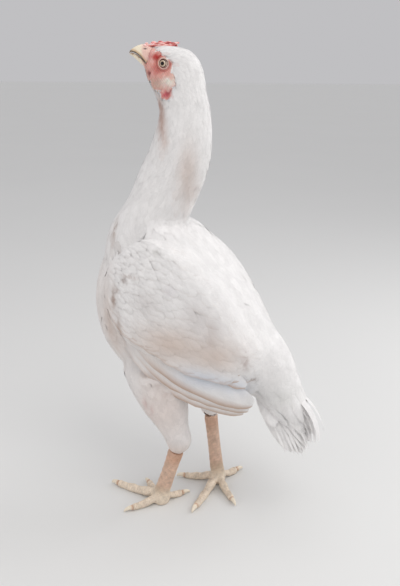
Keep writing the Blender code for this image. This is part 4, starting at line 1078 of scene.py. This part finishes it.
def vanes(title, places, outs, half_width, outline, columns, tilt, curve, thickness, seed, edge_shadow,
          sides, settle=None):
    """Long feathers along given paths. Each lower edge is painted darker, as the shadow that gathers there.
    """
    rng = np.random.default_rng(seed)
    count, rows = places.shape[:2]
    t = np.linspace(0, 1, rows)
    runs = unit(np.gradient(places, axis=1))
    aside = unit(np.cross(outs, runs)) * np.asarray(sides)[:, None, None]
    cuts = np.linspace(-1, 1, columns)
    reach = half_width[:, None, None] * read(outline, t)[None, :, None] * cuts[None, None, :]
    reach = reach * (1 + FRAY * rng.standard_normal((count, rows, 1)) * (np.abs(cuts) == 1))
    bend = np.asarray(curve).reshape(-1, 1, 1)
    ridge = SHAFT_RIDGE * (1 - np.abs(cuts))
    rise = -reach * math.tan(tilt) - reach ** 2 / (2 * bend) + ridge[None, None, :]
    tops = places[:, :, None] + aside[:, :, None] * reach[..., None] + outs[:, :, None] * rise[..., None]
    if settle:
        tops = settle(tops)
    ways_out = np.broadcast_to(outs[:, :, None], tops.shape)
    colours = markings_and_shade(tops)
    # Painted tan shadow along the lower edge, fading in away from the root
    shade = np.asarray(edge_shadow).reshape(-1, 1, 1)
    low = np.exp(-(((cuts + 1) / EDGE_SHADOW_WIDTH) ** 2))[None, None, :]
    low = low * shade * fade(t, *EDGE_SHADOW_BAND)[None, :, None]
    colours = colours + (from_srgb(*EDGE_PAINTED_SHADOW) - colours) * np.clip(low, 0, 1)[..., None]
    colours = np.clip(colours * rng.uniform(*VANE_TONES, (count, 1, 1, 1)), 0, 1)
    length = np.linalg.norm(np.diff(places, axis=1), axis=-1).sum(1)
    spots = np.stack([0.5 + places[:, 0, 1] * 1.5, 0.1 + places[:, 0, 2]], -1)
    sizes = np.stack([half_width, length], -1)
    return leaves(title, tops, ways_out, thickness, spots, with_under(colours), sizes)


def wing_top(ahead, angle):
    """The lift over the mantle of the wing's outer surface."""
    x, y = bed_disc(ahead, angle)
    at_edge = np.maximum(fade(angle, *THIN_ABOVE), fade(-ahead, *THIN_BEHIND))
    stack = WING_STACK + (WING_STACK_EDGE - WING_STACK) * at_edge
    dive = np.maximum(fade(-ahead, *DIVE_BEHIND), fade(angle, *DIVE_ABOVE))
    return np.hypot(np.maximum(bed_lift(x, y), 0), stack) - WING_DIVE * dive


def wing_roots(seed):
    """Roots of the coverts on the left wing, spaced from 4 mm at the shoulder to 9 mm behind."""
    rows, columns = COVERT_GRID
    aheads, angles = np.linspace(*COVERT_AHEADS, rows), np.linspace(*COVERT_ANGLES, columns)
    aheads, angles = np.meshgrid(aheads, angles, indexing="ij")
    places = mantle(aheads, angles, 1).reshape(-1, 3)
    index = np.arange(rows * columns).reshape(rows, columns)
    corners = (index[:-1, :-1], index[1:, :-1], index[1:, 1:], index[:-1, 1:])
    a, b, c, d = (corner.ravel() for corner in corners)
    triangles = np.concatenate([np.stack([a, b, c], -1), np.stack([a, c, d], -1)])

    def spacing_of(points):
        ahead, angle = read_mantle(points)[:2]
        inside = (angle > read(WING_LOWER, ahead) - 1) & (angle < read(WING_UPPER, ahead) + 2)
        return np.where(inside, COVERT_SPACING - COVERT_FINER * fade(ahead, *COVERT_TURN), 0.0)

    return scatter(places, triangles, spacing_of, seed)


def hug(tops):
    """Lays the coverts' upper and rear rims down on the back, so that the wing ends without a step."""
    flat = tops.reshape(-1, 3)
    ahead, angle = read_mantle(flat)[:2]
    free = (1 - fade(angle, *FREE_BELOW)) * (1 - fade(-ahead, *FREE_AHEAD_OF))
    free = free * (1 - fade(ahead, *FREE_BEHIND))
    places, outs = nearest(body_tree, flat)
    gap = ((flat - places) * outs).sum(1)
    limit = HUG_LEAST + HUG_FREE * free
    pressed = places + outs * np.minimum(gap, limit)[:, None]
    return np.where((gap > limit)[:, None], pressed, flat).reshape(tops.shape)


def coverts(title, side, seed):
    rng = np.random.default_rng(seed)
    roots, spacing = wing_roots(seed)
    count, steps = len(roots), COVERT_ROWS - 1
    length = spacing * COVERT_LENGTH * rng.uniform(*COVERT_SIZES, count)
    half_width = spacing * COVERT_WIDTH * rng.uniform(*COVERT_SIZES, count)
    swing = rng.normal(0, COVERT_SWING, count)
    t = np.linspace(0, 1, COVERT_ROWS)
    aheads, angles = np.zeros((count, COVERT_ROWS)), np.zeros((count, COVERT_ROWS))
    aheads[:, 0], angles[:, 0] = read_mantle(roots)[:2]
    margin = np.degrees(half_width / MANTLE_RADIUS) * COVERT_MARGIN
    for r in range(steps):
        x, y = bed_disc(aheads[:, r], angles[:, r])
        slope = COVERT_DROP + COVERT_FAN * np.clip(y, -1, 1) * np.clip(x, 0, 1) + swing
        ahead = aheads[:, r] - length / steps
        angle = angles[:, r] + np.degrees(slope * (length / steps) / MANTLE_RADIUS)
        low, high = read(WING_LOWER, ahead) + margin, read(WING_UPPER, ahead) - margin * COVERT_TOP_MARGIN
        aheads[:, r + 1], angles[:, r + 1] = ahead, np.clip(angle, low, np.maximum(high, low))
    kept = aheads[:, -1] > COVERT_LAST
    aheads, angles, half_width = aheads[kept], angles[kept], half_width[kept]
    lowest = 1 - fade(angles[:, -2] - read(WING_LOWER, aheads[:, -2]), *LOWEST_BAND)
    bend = COVERT_BEND - COVERT_TIGHTER * fade(angles.mean(1), *TIGHTER_ABOVE)
    lift = wing_top(aheads, angles) - COVERT_DEPTH * (1 - np.sin(math.pi / 2 * t))[None]
    lift = lift + rng.uniform(*COVERT_LIFTS, (len(aheads), 1))
    outs = mantle_out(aheads, angles, side)
    places = mantle(aheads, angles, side) + outs * lift[..., None]
    stations = tuple(zip(np.linspace(0, 1, len(BROAD_OUTLINE)), BROAD_OUTLINE))
    # Painted shadow along each covert's lower edge, strongest on the lowest row
    edges = COVERT_EDGE_SHADOW + LOWEST_EDGE_SHADOW * lowest
    return vanes(title, places, outs, half_width, stations, COVERT_COLUMNS, COVERT_TILT, bend,
                 COVERT_THICKNESS, seed + 1, edges, np.full(len(aheads), side), hug)


def flights(title, side, seed):
    # Rows crowd towards the tip, where the outline turns
    t = np.sin(np.linspace(0, math.pi / 2, FLIGHT_ROWS))
    outline = tuple((math.asin(along) * 2 / math.pi, width) for along, width in FLIGHT_OUTLINE)
    root, root_angle, tip, tip_angle, bow, half_width, lift = np.array(FLIGHTS).T[..., None]
    aheads = root + (tip - root) * t
    angles = root_angle + (tip_angle - root_angle) * t + bow * np.sin(math.pi * t)
    outs = mantle_out(aheads, angles, side)
    places = mantle(aheads, angles, side) + outs * (lift * np.sin(math.pi / 2 * t))[..., None]
    return vanes(title, places, outs, half_width[:, 0], outline, FLIGHT_COLUMNS, FLIGHT_TILT, FLIGHT_BEND,
                 FLIGHT_THICKNESS, seed, FLIGHT_EDGE_SHADOW, np.full(len(FLIGHTS), side))


vane_finish = feather_finish("flight_feathers", pitch=0.8, strength=0.30, roughness=0.62)
for side, name in ((1, "left"), (-1, "right")):
    dress(coverts("coverts_" + name, side, seed=51), down_finish, "plumage", crisp=True)
    lower = flights("flights_" + name, side, seed=61)
    dress(lower, vane_finish, "flight_feathers", "wing_" + name, crisp=True)


# Tail: a short drooping tent of paired feathers round the rump, the lowest ones inside, with
# ragged split tips, softer coverts over their roots, and a few curved ones that stand out behind.
TAIL_PAIRS, TAIL_COVERT_PAIRS = 10, 9
TAIL_ROWS, TAIL_COLUMNS = 16, 5
RECTRIX_ROOTS = ((0.004, 0.116, 0.204), (0.017, 0.105, 0.178))
RECTRIX_TIPS = ((0.005, 0.176, 0.136), (0.024, 0.147, 0.113))
TAIL_COVERT_ROOTS = ((0.005, 0.112, 0.210), (0.016, 0.102, 0.184))
TAIL_COVERT_TIPS = ((0.008, 0.150, 0.168), (0.022, 0.126, 0.147))
SICKLE = ((0.004, 0.128, 0.196), (0.006, 0.175, 0.174), (0.013, 0.180, 0.130))
SICKLE_SHIFTS, SICKLE_HALF_WIDTH = (0.0, 0.0030, 0.0065, 0.0105, 0.0150), 0.0058
TAIL_TIP_BOW = (0, 0.0020, -0.012)
TAIL_OUT_ON_TOP, TAIL_OUT_LOWEST = (0.30, 0.80, 0.75), (0.95, 0.25, 0.15)
TAIL_OUTLINE = ((0.0, 0.45), (0.2, 0.80), (0.5, 1.0), (0.75, 0.85), (0.90, 0.55), (1.0, 0.14))
SLIVER_OUTLINE = ((0.0, 0.6), (0.4, 1.0), (0.8, 0.7), (1.0, 0.1))
SLIVERS, SLIVER_ROWS = 4, 7
TAIL_HALF_WIDTH, TAIL_COVERT_HALF_WIDTH, TAIL_COVERT_LIFT = 0.0094, 0.0085, 0.0026
# Tail vanes' thickness, and the strength of the painted shadow on their lower edges
TAIL_THICKNESS, TAIL_EDGE_SHADOW = 0.0004, 0.04
# Each kind: outline, columns, tilt in degrees, bend and seed
TAIL_KINDS = {
    "vane": (TAIL_OUTLINE, TAIL_COLUMNS, 2, 0.030, 73),
    "covert": (TAIL_OUTLINE, TAIL_COLUMNS, 2, 0.020, 74),
    "sliver": (SLIVER_OUTLINE, 3, 0, 0.010, 75),
    "skirt": (TAIL_OUTLINE, TAIL_COLUMNS, 2, 0.016, 76),
}
# The skirt's rings: height of the roots on the rump, as a share of its half length, and length
SKIRT_RINGS, SKIRT_STEP = ((0.05, 0.040), (0.35, 0.040), (0.62, 0.038)), 15
SKIRT_CLOSING, SKIRT_BOW, SKIRT_SINK = 0.42, 0.0030, 0.0012
SKIRT_ANGLES, SKIRT_SHIFT, SKIRT_SWAY = (-62, 243), 5, 0.003
SKIRT_LENGTHS, SKIRT_HALF_WIDTHS = (0.86, 1.16), (0.0062, 0.0086)
RECTRIX_LENGTHS, TAIL_COVERT_LENGTHS, RECTRIX_LIFT = (-0.06, 0.03), (-0.10, 0.10), 0.0012
SLIVER_STARTS, SLIVER_ENDS, SLIVER_SWAY, SLIVER_CURL = (0.55, 0.70), (-0.08, 0.07), 0.0058, 0.001
SLIVER_HALF_WIDTHS, TAIL_SEED = (0.0013, 0.0024), 71


def between(pair, share):
    return np.array(pair[0]) * (1 - share) + np.array(pair[1]) * share


def arc(root, middle, tip, t):
    """Places along a curve from root to tip that bends towards the middle."""
    return root * (1 - t) ** 2 + middle * 2 * t * (1 - t) + tip * t * t


def tail_path(side, share, root, middle, tip, lift, rows):
    """A curve from root to tip, and the way out of the tent along it; share 1 is the lowest."""
    t = np.linspace(0, 1, rows)[:, None]
    root, middle, tip = (np.array(p, float) for p in (root, middle, tip))
    place = arc(root, middle, tip, t)
    run = (middle - root) * (1 - t) + (tip - middle) * t
    out = between((TAIL_OUT_ON_TOP, TAIL_OUT_LOWEST), share)
    out = unit(out - run * (run @ out / (run * run).sum(1))[:, None])
    place = place + out * lift * np.minimum(1, 2 * t)
    flip = np.array((side, 1, 1))
    return place * flip + np.array(BASE), out * flip


def rump_skirt(rng):
    """Soft feathers rooted round the rump that hang straight over the tail's foot, in rings."""
    lean = math.radians(RUMP_LEAN)
    down = np.array((0, math.sin(lean), -math.cos(lean)))
    out = np.array((0, math.cos(lean), math.sin(lean)))
    wide, deep, long = RUMP_SIZE
    feathers = []
    for ring, (height, reach) in enumerate(SKIRT_RINGS):
        first, last = SKIRT_ANGLES
        for angle in np.radians(np.arange(first + SKIRT_SHIFT * ring, last, SKIRT_STEP)):
            around = np.array((wide * math.cos(angle), 0, 0)) + out * deep * math.sin(angle)
            root = down * long * height + around * math.sqrt(1 - height ** 2)
            length = reach * rng.uniform(*SKIRT_LENGTHS)
            tip = root + down * length - around * SKIRT_CLOSING * (length / 0.04)
            tip = tip + np.array((rng.uniform(-1, 1), 0, 0)) * SKIRT_SWAY
            t = np.linspace(0, 1, TAIL_ROWS)[:, None]
            middle = (root + tip) / 2 + unit(around) * SKIRT_BOW
            place = np.array(RUMP_AT) + arc(root, middle, tip, t)
            ways = np.tile(unit(around / np.array((wide, deep, deep)) ** 2 * 1e-3), (TAIL_ROWS, 1))
            side = 1 if math.cos(angle) >= 0 else -1
            place = place - ways * SKIRT_SINK * (1 - t) ** 2
            feathers.append((place, ways, rng.uniform(*SKIRT_HALF_WIDTHS), side))
    return feathers


def tail_feathers():
    rng = np.random.default_rng(TAIL_SEED)
    groups = {"vane": [], "covert": [], "sliver": []}

    def add(name, side, share, curve, lift, half_width, rows=TAIL_ROWS):
        groups[name].append((*tail_path(side, share, *curve, lift, rows), half_width, side))

    for side in (1, -1):
        for share in np.linspace(0, 1, TAIL_PAIRS):
            root, tip = between(RECTRIX_ROOTS, share), between(RECTRIX_TIPS, share)
            tip = tip + np.array(TAIL_TIP_BOW) * math.sin(math.pi * share)
            tip = tip + (tip - root) * rng.uniform(*RECTRIX_LENGTHS)
            lift = RECTRIX_LIFT * (1 - share)
            add("vane", side, share, (root, (root + tip) / 2, tip), lift, TAIL_HALF_WIDTH)
            for i in range(round(SLIVERS * (0.4 + 0.6 * share))):
                start = root + (tip - root) * rng.uniform(*SLIVER_STARTS)
                spread = np.cross(tip - root, TAIL_OUT_ON_TOP) / 0.08
                spread = spread * rng.uniform(-SLIVER_SWAY, SLIVER_SWAY)
                end = tip + (tip - root) * rng.uniform(*SLIVER_ENDS) + spread
                curve = (start + spread * 0.4, (start + end) / 2 - np.array((0, 0, SLIVER_CURL)), end)
                add("sliver", side, share, curve, lift, rng.uniform(*SLIVER_HALF_WIDTHS), SLIVER_ROWS)
        for share in np.linspace(0, 1, TAIL_COVERT_PAIRS):
            root, tip = between(TAIL_COVERT_ROOTS, share), between(TAIL_COVERT_TIPS, share)
            tip = tip + (tip - root) * rng.uniform(*TAIL_COVERT_LENGTHS)
            curve = (root, (root + tip) / 2, tip)
            add("covert", side, share, curve, TAIL_COVERT_LIFT, TAIL_COVERT_HALF_WIDTH)
        for shift in SICKLE_SHIFTS:
            curve = [np.array(p) - np.array((shift * 0.4, shift * 1.6, shift)) for p in SICKLE]
            add("vane", side, 0, curve, TAIL_COVERT_LIFT, SICKLE_HALF_WIDTH)
    groups["skirt"] = rump_skirt(rng)
    pieces = []
    for name, (outline, columns, tilt, bend, seed) in TAIL_KINDS.items():
        paths, outs, widths, sides = (np.array(column) for column in zip(*groups[name]))
        pieces.append(vanes("tail_" + name, paths, outs, widths, outline, columns, math.radians(tilt), bend,
                            TAIL_THICKNESS, seed, TAIL_EDGE_SHADOW, sides))
    pick(*pieces)
    bpy.ops.object.join()
    pieces[0].name = "tail_feathers"
    return pieces[0]


dress(tail_feathers(), vane_finish, "flight_feathers", "tail", crisp=True)


# Comb: a low pea comb of three crowded rows of lumps, grown on the skin of the brow from the beak
# back to a loose tip. It is soft red flesh, with painted highlights on the lumps and painted shade
# in the folds between them.
COMB_VOXEL, COMB_HEIGHT_SHARE, COMB_FOOT = 0.0005, 0.66, 49.5
COMB_LUMP, COMB_LUMP_SIZE, COMB_LUMP_STRETCH = 0.0007, 0.0018, 0.42
# Parts of the ridge: ahead, up, half length, half width and half height, in millimetres
COMB_RIDGE = ((29, 54.2, 15.5, 7.0, 3.6), (14, 56.6, 8.5, 3.6, 2.0))
COMB_LEAN = -8
COMB_TONE, COMB_LUMP_LIGHT_AND_SHADE, COMB_FRONT_TONE, COMB_SIDE_TONE = 0.42, 0.55, 0.30, 0.35
COMB_FRONT, COMB_SIDES = (30, 40), (4.0, 7.0)
COMB_COLOURS = ((150, 40, 46), (222, 128, 124), (250, 208, 202))

comb = twin("comb_flesh", "comb")
lean = math.radians(COMB_LEAN)
# A ridge of flesh joins the lumps and runs back to the loose tip
for ahead, up, half_length, half_width, half_height in COMB_RIDGE:
    ridge = new_ball(1)
    places = points_of(ridge) * (half_length, half_width, half_height) * 0.001
    along = places[:, 0] * math.cos(lean) - places[:, 2] * math.sin(lean)
    rise = places[:, 0] * math.sin(lean) + places[:, 2] * math.cos(lean)
    middle = np.array(HEAD_FOOT + HEAD_AHEAD * ahead * 0.001) + (0, 0, up * 0.001)
    move_points(ridge, middle + np.outer(along, HEAD_AHEAD) + np.outer(places[:, 1], HEAD_LEFT)
                + np.outer(rise, (0, 0, 1)))
    pick(comb, ridge)
    bpy.ops.object.join()
knead(comb, COMB_VOXEL, factor=0.6, rounds=14)
places = points_of(comb)
up = (places[:, 2] - HEAD_FOOT.z) * 1000
places[:, 2] += np.where(up > COMB_FOOT, (up - COMB_FOOT) * (COMB_HEIGHT_SHARE - 1), 0) * 0.001
move_points(comb, places)
outs = outs_of(comb)
ahead, up, left = head_place(places)
lumps = mottle(np.stack([ahead * COMB_LUMP_STRETCH + up * 0.3, up, left], -1) * 0.001, COMB_LUMP_SIZE, 0.9)
move_points(comb, places + outs * (COMB_LUMP * lumps)[:, None])
# Painted highlights on the raised lumps and painted shade in the folds; paler also towards the front and
# away from the middle
share = COMB_TONE + COMB_LUMP_LIGHT_AND_SHADE * lumps + COMB_FRONT_TONE * fade(ahead, *COMB_FRONT)
share = np.clip(share + COMB_SIDE_TONE * fade(np.abs(left), *COMB_SIDES), 0, 1)[:, None]
dark, middle, pale = (from_srgb(*colour) for colour in COMB_COLOURS)
low, high = dark + (middle - dark) * share * 2, middle + (pale - middle) * (share * 2 - 1)
colour_in(comb, np.where(share < 0.5, low, high))
comb_finish, tree, colour = coloured_finish("comb_flesh")
relief = (wrinkled(tree, 1400.0), 0.4, FINE_RELIEF_DEPTH)
surface(tree, colour, relief, Roughness=0.45, Subsurface_Weight=0.2,
        Subsurface_Scale=0.002)
dress(comb, comb_finish, "comb", "comb")


# Beak: two halves of pale horn, the upper one hooked over the lower. The horn is cream on top,
# tan and worn along the cutting edges, with painted shade where the halves meet and in the nostril.
BEAK_VOXEL = 0.00045
BEAK_CREAM, BEAK_TAN, BEAK_WORN, BEAK_MOUTH_SHADE = (242, 230, 206), (206, 168, 122), (142, 100, 66), (44, 26, 20)
BEAK_PINK, NOSTRIL_SHADE = (232, 184, 176), (40, 18, 18)
# The line of the mouth and the nostril, in millimetres ahead and up of the head's foot
MOUTH = ((43.4, 33.0), (49.3, 40.1), (55.3, 44.5), (60.5, 46.1), (63.0, 46.3))
NOSTRIL = (44.2, 48.3, 2.0, 0.75)


def beak_colours(points):
    ahead, up, left = head_place(points)
    gap = up - read(MOUTH, ahead)
    colours = np.tile(from_srgb(*BEAK_CREAM), (len(points), 1))
    colours = tinted(colours, np.maximum(ahead - 46.0, 0) / 2.4, BEAK_PINK, 0.75)
    colours = tinted(colours, (gap - 1.6) / 1.6, BEAK_TAN, 0.75)
    colours = tinted(colours, (gap + 1.8 + 0.4 * mottle(points, 0.0024, 1.1)) / 1.5, BEAK_WORN, 0.85)
    # Painted shade in the mouth line where the halves meet, and in the nostril's slit
    colours = tinted(colours, gap / 0.85, BEAK_MOUTH_SHADE, 0.95)
    colours = tinted(colours, oval(ahead, up, *NOSTRIL), NOSTRIL_SHADE, 0.97)
    return np.clip(colours * toning(points, (0.05, 0.0010, 0.3))[:, None], 0, 1)


horn_finish, tree, colour = coloured_finish("beak_horn")
relief = (soft_noise(tree, 700.0, 6.0), 0.25, FINE_RELIEF_DEPTH)
surface(tree, colour, relief, Roughness=0.38, Coat_Weight=0.15,
        Coat_Roughness=0.3)
for name in ("beak_upper", "beak_lower"):
    half = twin(name + "_horn", name)
    knead(half, BEAK_VOXEL, factor=0.5, rounds=5)
    colour_in(half, beak_colours(points_of(half)))
    dress(half, horn_finish, "horn", name)


# Eyes: wet balls set under the lids, each with a clear bulge over a cream iris, a round black
# pupil and a dark ring round the iris.
EYE_SEGMENTS, EYE_RINGS = 64, 40
EYE_AHEAD_LEAN = math.radians(12)
CORNEA_RADIUS, CORNEA_RISE = 4.6, 0.5
# Reach from the middle of the eye, in millimetres, and colour
EYE_BANDS = (
    (0.0, (6, 4, 5)), (1.85, (6, 4, 5)), (2.15, (120, 84, 62)), (2.5, (226, 204, 176)),
    (3.3, (238, 222, 200)), (3.55, (110, 74, 58)), (3.9, (44, 26, 24)), (4.2, (110, 74, 62)),
    (4.5, (234, 214, 198)), (5.1, (236, 216, 202)), (5.5, (120, 74, 64)), (9.0, (120, 74, 64)),
)

eye_finish, tree, colour = coloured_finish("wet_eye")
depth = remap(tree, soft_noise(tree, 1800.0, 3.0), 0.3, 0.7, 0.85, 1.05)
surface(tree, toned(tree, colour, depth), Roughness=0.22, Specular_IOR_Level=0.25, Coat_Weight=0.25,
        Coat_Roughness=0.03)
bands = np.array([(where, *from_srgb(*tone)) for where, tone in EYE_BANDS])
for side, name in ((1, "eye_left"), (-1, "eye_right")):
    ball = new_ball(EYE_RADIUS * 0.001, EYE_SEGMENTS, EYE_RINGS)
    ball.name = name + "_ball"
    middle = HEAD_AHEAD * EYE_AT[0] + Vector((0, 0, EYE_AT[1])) + HEAD_LEFT * EYE_AT[2] * side
    middle = HEAD_FOOT + middle * 0.001
    axis = HEAD_LEFT * side * math.cos(EYE_AHEAD_LEAN) + HEAD_AHEAD * math.sin(EYE_AHEAD_LEAN)
    turn = Vector((0, 0, 1)).rotation_difference(axis.normalized()).to_matrix()
    places = points_of(ball) * 1000
    reach = np.hypot(places[:, 0], places[:, 1])
    places[:, 2] += np.where(places[:, 2] > 0, CORNEA_RISE * (1 - fade(reach, 0, CORNEA_RADIUS)), 0)
    reach = np.where(places[:, 2] > 0, reach, bands[-1, 0])
    move_points(ball, places @ np.array(turn).T * 0.001 + np.array(middle))
    colour_in(ball, np.stack([np.interp(reach, bands[:, 0], bands[:, i]) for i in (1, 2, 3)], -1))
    dress(ball, eye_finish, "eye", name)


# Legs and feet: tan scaly skin over shank, pads and toes. Broad scutes overlap down the front of
# the shank and along each toe, small ones lie behind, and each is darker at its root along the seams
# between them, with specks of dust over all.
LEG_VOXEL = 0.0008
LEG_TAN, TOE_PINK, LEG_STAIN, HOCK_BROWN = (216, 184, 162), (230, 214, 194), (172, 152, 116), (202, 148, 116)
LEG_SPECK, CLAW_SPECK = (146, 92, 66), (150, 118, 88)
LEG_PATTERNS = ((0.10, 0.005, 0.8), (0.07, 0.0016, 2.2))
LEG_STAIN_STRENGTH, PINK_BELOW = 0.55, (0.016, 0.034)
ANKLE_STAIN_RISE, ANKLE_STAIN_SIZE = 0.004, (0.011, 0.011, 0.009)
HOCK_STAIN_RISE, HOCK_STAIN_SIZE = -0.020, (0.020, 0.020, 0.012)
SCUTE_OUTLINE = (0.80, 0.96, 1.0, 1.0, 0.92, 0.62)
SCUTE_DEPTH, SCUTE_RISE, SCUTE_THICKNESS = 0.0005, 0.0006, 0.0004
# Each leg: name, hock, ankle, the way its front faces, and its toes' tips
LEGS = (
    ("left", BASE + Vector((0.0420, 0.0030, 0.102)), BASE + Vector((0.0370, -0.0265, 0.021)),
     Vector((0.1, -1, 0)),
     ((0.0100, -0.0590), (0.0275, -0.0990), (0.0690, -0.0550), (0.0140, -0.0060))),
    ("right", BASE + Vector((-0.0475, 0.0125, 0.115)), BASE + Vector((-0.0370, 0.0290, 0.021)),
     Vector((1, -0.25, 0)),
     ((0.0000, 0.0640), (0.0330, 0.0240), (-0.0270, -0.0180), (-0.0680, 0.0470))),
)
# Rows of scutes down the shank: turn from its front, half width, and length, in millimetres
SHANK_ROWS = ((-30, 5.4, 4.8), (30, 5.4, 4.8), (-88, 3.8, 3.8), (88, 3.8, 3.8), (-142, 4.4, 4.2),
              (142, 4.4, 4.2))
TOE_SCUTE_HALF_WIDTH, TOE_SCUTE_LENGTH, TOE_SCUTE_START, TOE_TOP = 0.0047, 0.0040, 0.008, 0.024
SCUTE_STEP, SCUTE_DROOP, SCUTE_SEAM_TONE, SCUTE_TONES, SCUTE_SEED = 0.78, 0.0002, 0.24, (0.93, 1.06), 81
TOE_END, TOE_END_HEIGHT, TOE_END_TAPER = 0.0045, 0.0042, 0.28
PAD_REACH, PAD_RISE, PAD_SMOOTHING = 0.019, 0.004, 40
TOE_END_REACH = 0.009


def leg_colours(points):
    colours = blend(from_srgb(*LEG_TAN), from_srgb(*TOE_PINK), 1 - fade(points[:, 2], *PINK_BELOW))
    colours = colours * toning(points, *LEG_PATTERNS)[:, None]
    for name, hock, ankle, front, tips in LEGS:
        for middle, rise, size, stain in ((ankle, ANKLE_STAIN_RISE, ANKLE_STAIN_SIZE, LEG_STAIN),
                                          (hock, HOCK_STAIN_RISE, HOCK_STAIN_SIZE, HOCK_BROWN)):
            gap = np.linalg.norm((points - np.array(middle) - (0, 0, rise)) / size, axis=-1)
            colours = tinted(colours, gap, stain, LEG_STAIN_STRENGTH)
    return np.clip(colours, 0, 1)


def scutes(title, tree, hock, ankle, front, tips):
    """The scutes of one leg, pressed on it in rows."""
    down = (ankle - hock).normalized()
    ahead = (front - down * front.dot(down)).normalized()
    aside = down.cross(ahead)
    roots, ways, sizes = [], [], []
    for turn, half_width, length in SHANK_ROWS:
        away = ahead * math.cos(math.radians(turn)) + aside * math.sin(math.radians(turn))
        steps = int((ankle - hock).length * 1000 / (length * SCUTE_STEP))
        for i in range(1, steps + 1):
            start = hock.lerp(ankle, i / steps)
            hit = tree.ray_cast(start + away * 0.03, -away)
            if hit[0] is not None:
                roots.append(hit[0] - down * length * 0.0004)
                ways.append(down)
                sizes.append((half_width * 0.001, length * 0.001))
    step = TOE_SCUTE_LENGTH * SCUTE_STEP
    for x, y in tips:
        run = Vector((x, y, 0)) + Vector((BASE.x, BASE.y, 0)) - Vector((ankle.x, ankle.y, 0))
        steps = int((run.length - TOE_SCUTE_START) / step)
        run.normalize()
        for i in range(steps):
            over = Vector((ankle.x, ankle.y, 0.05)) + run * (TOE_SCUTE_START + i * step)
            hit = tree.ray_cast(over, Vector((0, 0, -1)))
            if hit[0] is not None and hit[0].z < TOE_TOP:
                roots.append(hit[0])
                ways.append(run)
                sizes.append((TOE_SCUTE_HALF_WIDTH * (1 - 0.25 * i / steps), TOE_SCUTE_LENGTH))
    roots, ways, sizes = np.array(roots), np.array(ways), np.array(sizes)
    count = len(roots)
    tops, outs = press(tree, roots, lambda places: ways, np.zeros(count), sizes[:, 1], sizes[:, 0],
                       SCUTE_OUTLINE, 5, SCUTE_DEPTH, np.full(count, SCUTE_RISE), SCUTE_DROOP)
    colours = leg_colours(tops.reshape(-1, 3)).reshape(*tops.shape)
    # Each scute is darker at its root, along the seam under the one before it
    edge = 1 - SCUTE_SEAM_TONE * (np.array(FEATHER_STATIONS) < 0.3)[None, :, None, None]
    tones = np.random.default_rng(SCUTE_SEED).uniform(*SCUTE_TONES, (count, 1, 1, 1))
    colours = colours * edge * tones
    map_up = 0.1 + roots[:, 2] * 6 + (roots[:, 1] - ankle.y) * 2
    spots = np.stack([0.5 + (roots[:, 0] - ankle.x) * 4, map_up], -1)
    return leaves(title, tops, outs, SCUTE_THICKNESS, spots, with_under(np.clip(colours, 0, 1)), sizes)


# Dark specks of dirt, from the place on the object, as a mask
dust, size, result = new_group("dust", "Size", "Mask")
specks = remap(dust, soft_noise(dust, size, 4.0), 0.56, 0.72, 0.0, 0.45, interpolation_type="SMOOTHSTEP")
dust.links.new(specks, result.inputs["Mask"])


def scaly_finish(title, speck, strength, roughness):
    """The piece's own dye under specks of dirt, with a fine pebbled relief."""
    finish, tree, colour = coloured_finish(title)
    dirt = put(tree, "Group", {"Size": 620.0}, node_tree=dust).outputs["Mask"]
    darker = put(tree, "Mix", {0: dirt, 6: colour, 7: (*from_srgb(*speck), 1)}, data_type="RGBA")
    surface(tree, darker.outputs[2], (wrinkled(tree, 1100.0), strength, RELIEF_DEPTH), Roughness=roughness)
    return finish


leg_finish = scaly_finish("leg_scales", LEG_SPECK, strength=0.4, roughness=0.55)
for name, hock, ankle, front, tips in LEGS:
    leg = twin("leg_" + name, "shank_" + name, "foot_" + name)
    knead(leg, LEG_VOXEL, factor=0.5, rounds=4)
    gap = points_of(leg) - np.array(ankle)
    around = np.flatnonzero((np.hypot(gap[:, 0], gap[:, 1]) < PAD_REACH) & (gap[:, 2] < PAD_RISE))
    leg.vertex_groups.new(name="pad").add(around.tolist(), 1.0, "REPLACE")
    work(leg, "SMOOTH", factor=0.5, iterations=PAD_SMOOTHING, vertex_group="pad")
    places = points_of(leg)
    for x, y in tips:
        end = np.array(BASE) + (x, y, TOE_END_HEIGHT)
        run = unit((end - np.array(ankle)) * (1, 1, 0))
        along = (places - end) @ run
        gap = places - end - np.outer(along, run)
        at_end = (np.abs(along) < TOE_END) & (np.linalg.norm(gap, axis=1) < TOE_END_REACH)
        share = np.where(at_end, np.clip(1 + along / TOE_END, 0, 1), 0) ** 2
        places = places - gap * (TOE_END_TAPER * share)[:, None]
    places[:, 2] = np.maximum(places[:, 2], 0.0)
    move_points(leg, places)
    colour_in(leg, leg_colours(places))
    plates = scutes("scutes_" + name, tree_of(leg), hock, ankle, front, tips)
    dress(plates, leg_finish, "scales", crisp=True)
    dress(leg, leg_finish, "scales", "shank_" + name, "foot_" + name)


# Claws: short blunt curved horn, one for each toe, pale at the tip. Soil is worn into the root
# of each.
CLAW_VOXEL = 0.00035
CLAW_PALE, CLAW_ROOT, CLAW_FADE = (238, 226, 206), (206, 170, 144), (0.0005, 0.0045)

claw_finish = scaly_finish("claw_horn", CLAW_SPECK, strength=0.2, roughness=0.4)
for name, hock, ankle, front, tips in LEGS:
    for toe in ("inner", "middle", "outer", "hind"):
        node = "claw_" + name + "_" + toe
        claw = twin(node + "_horn", node)
        knead(claw, CLAW_VOXEL, factor=0.5, rounds=4)
        places = points_of(claw)
        out = np.hypot(places[:, 0] - ankle.x, places[:, 1] - ankle.y)
        share = fade(out, *(out.min() + edge for edge in CLAW_FADE))
        colour_in(claw, blend(from_srgb(*CLAW_ROOT), from_srgb(*CLAW_PALE), share))
        dress(claw, claw_finish, "claws", node)
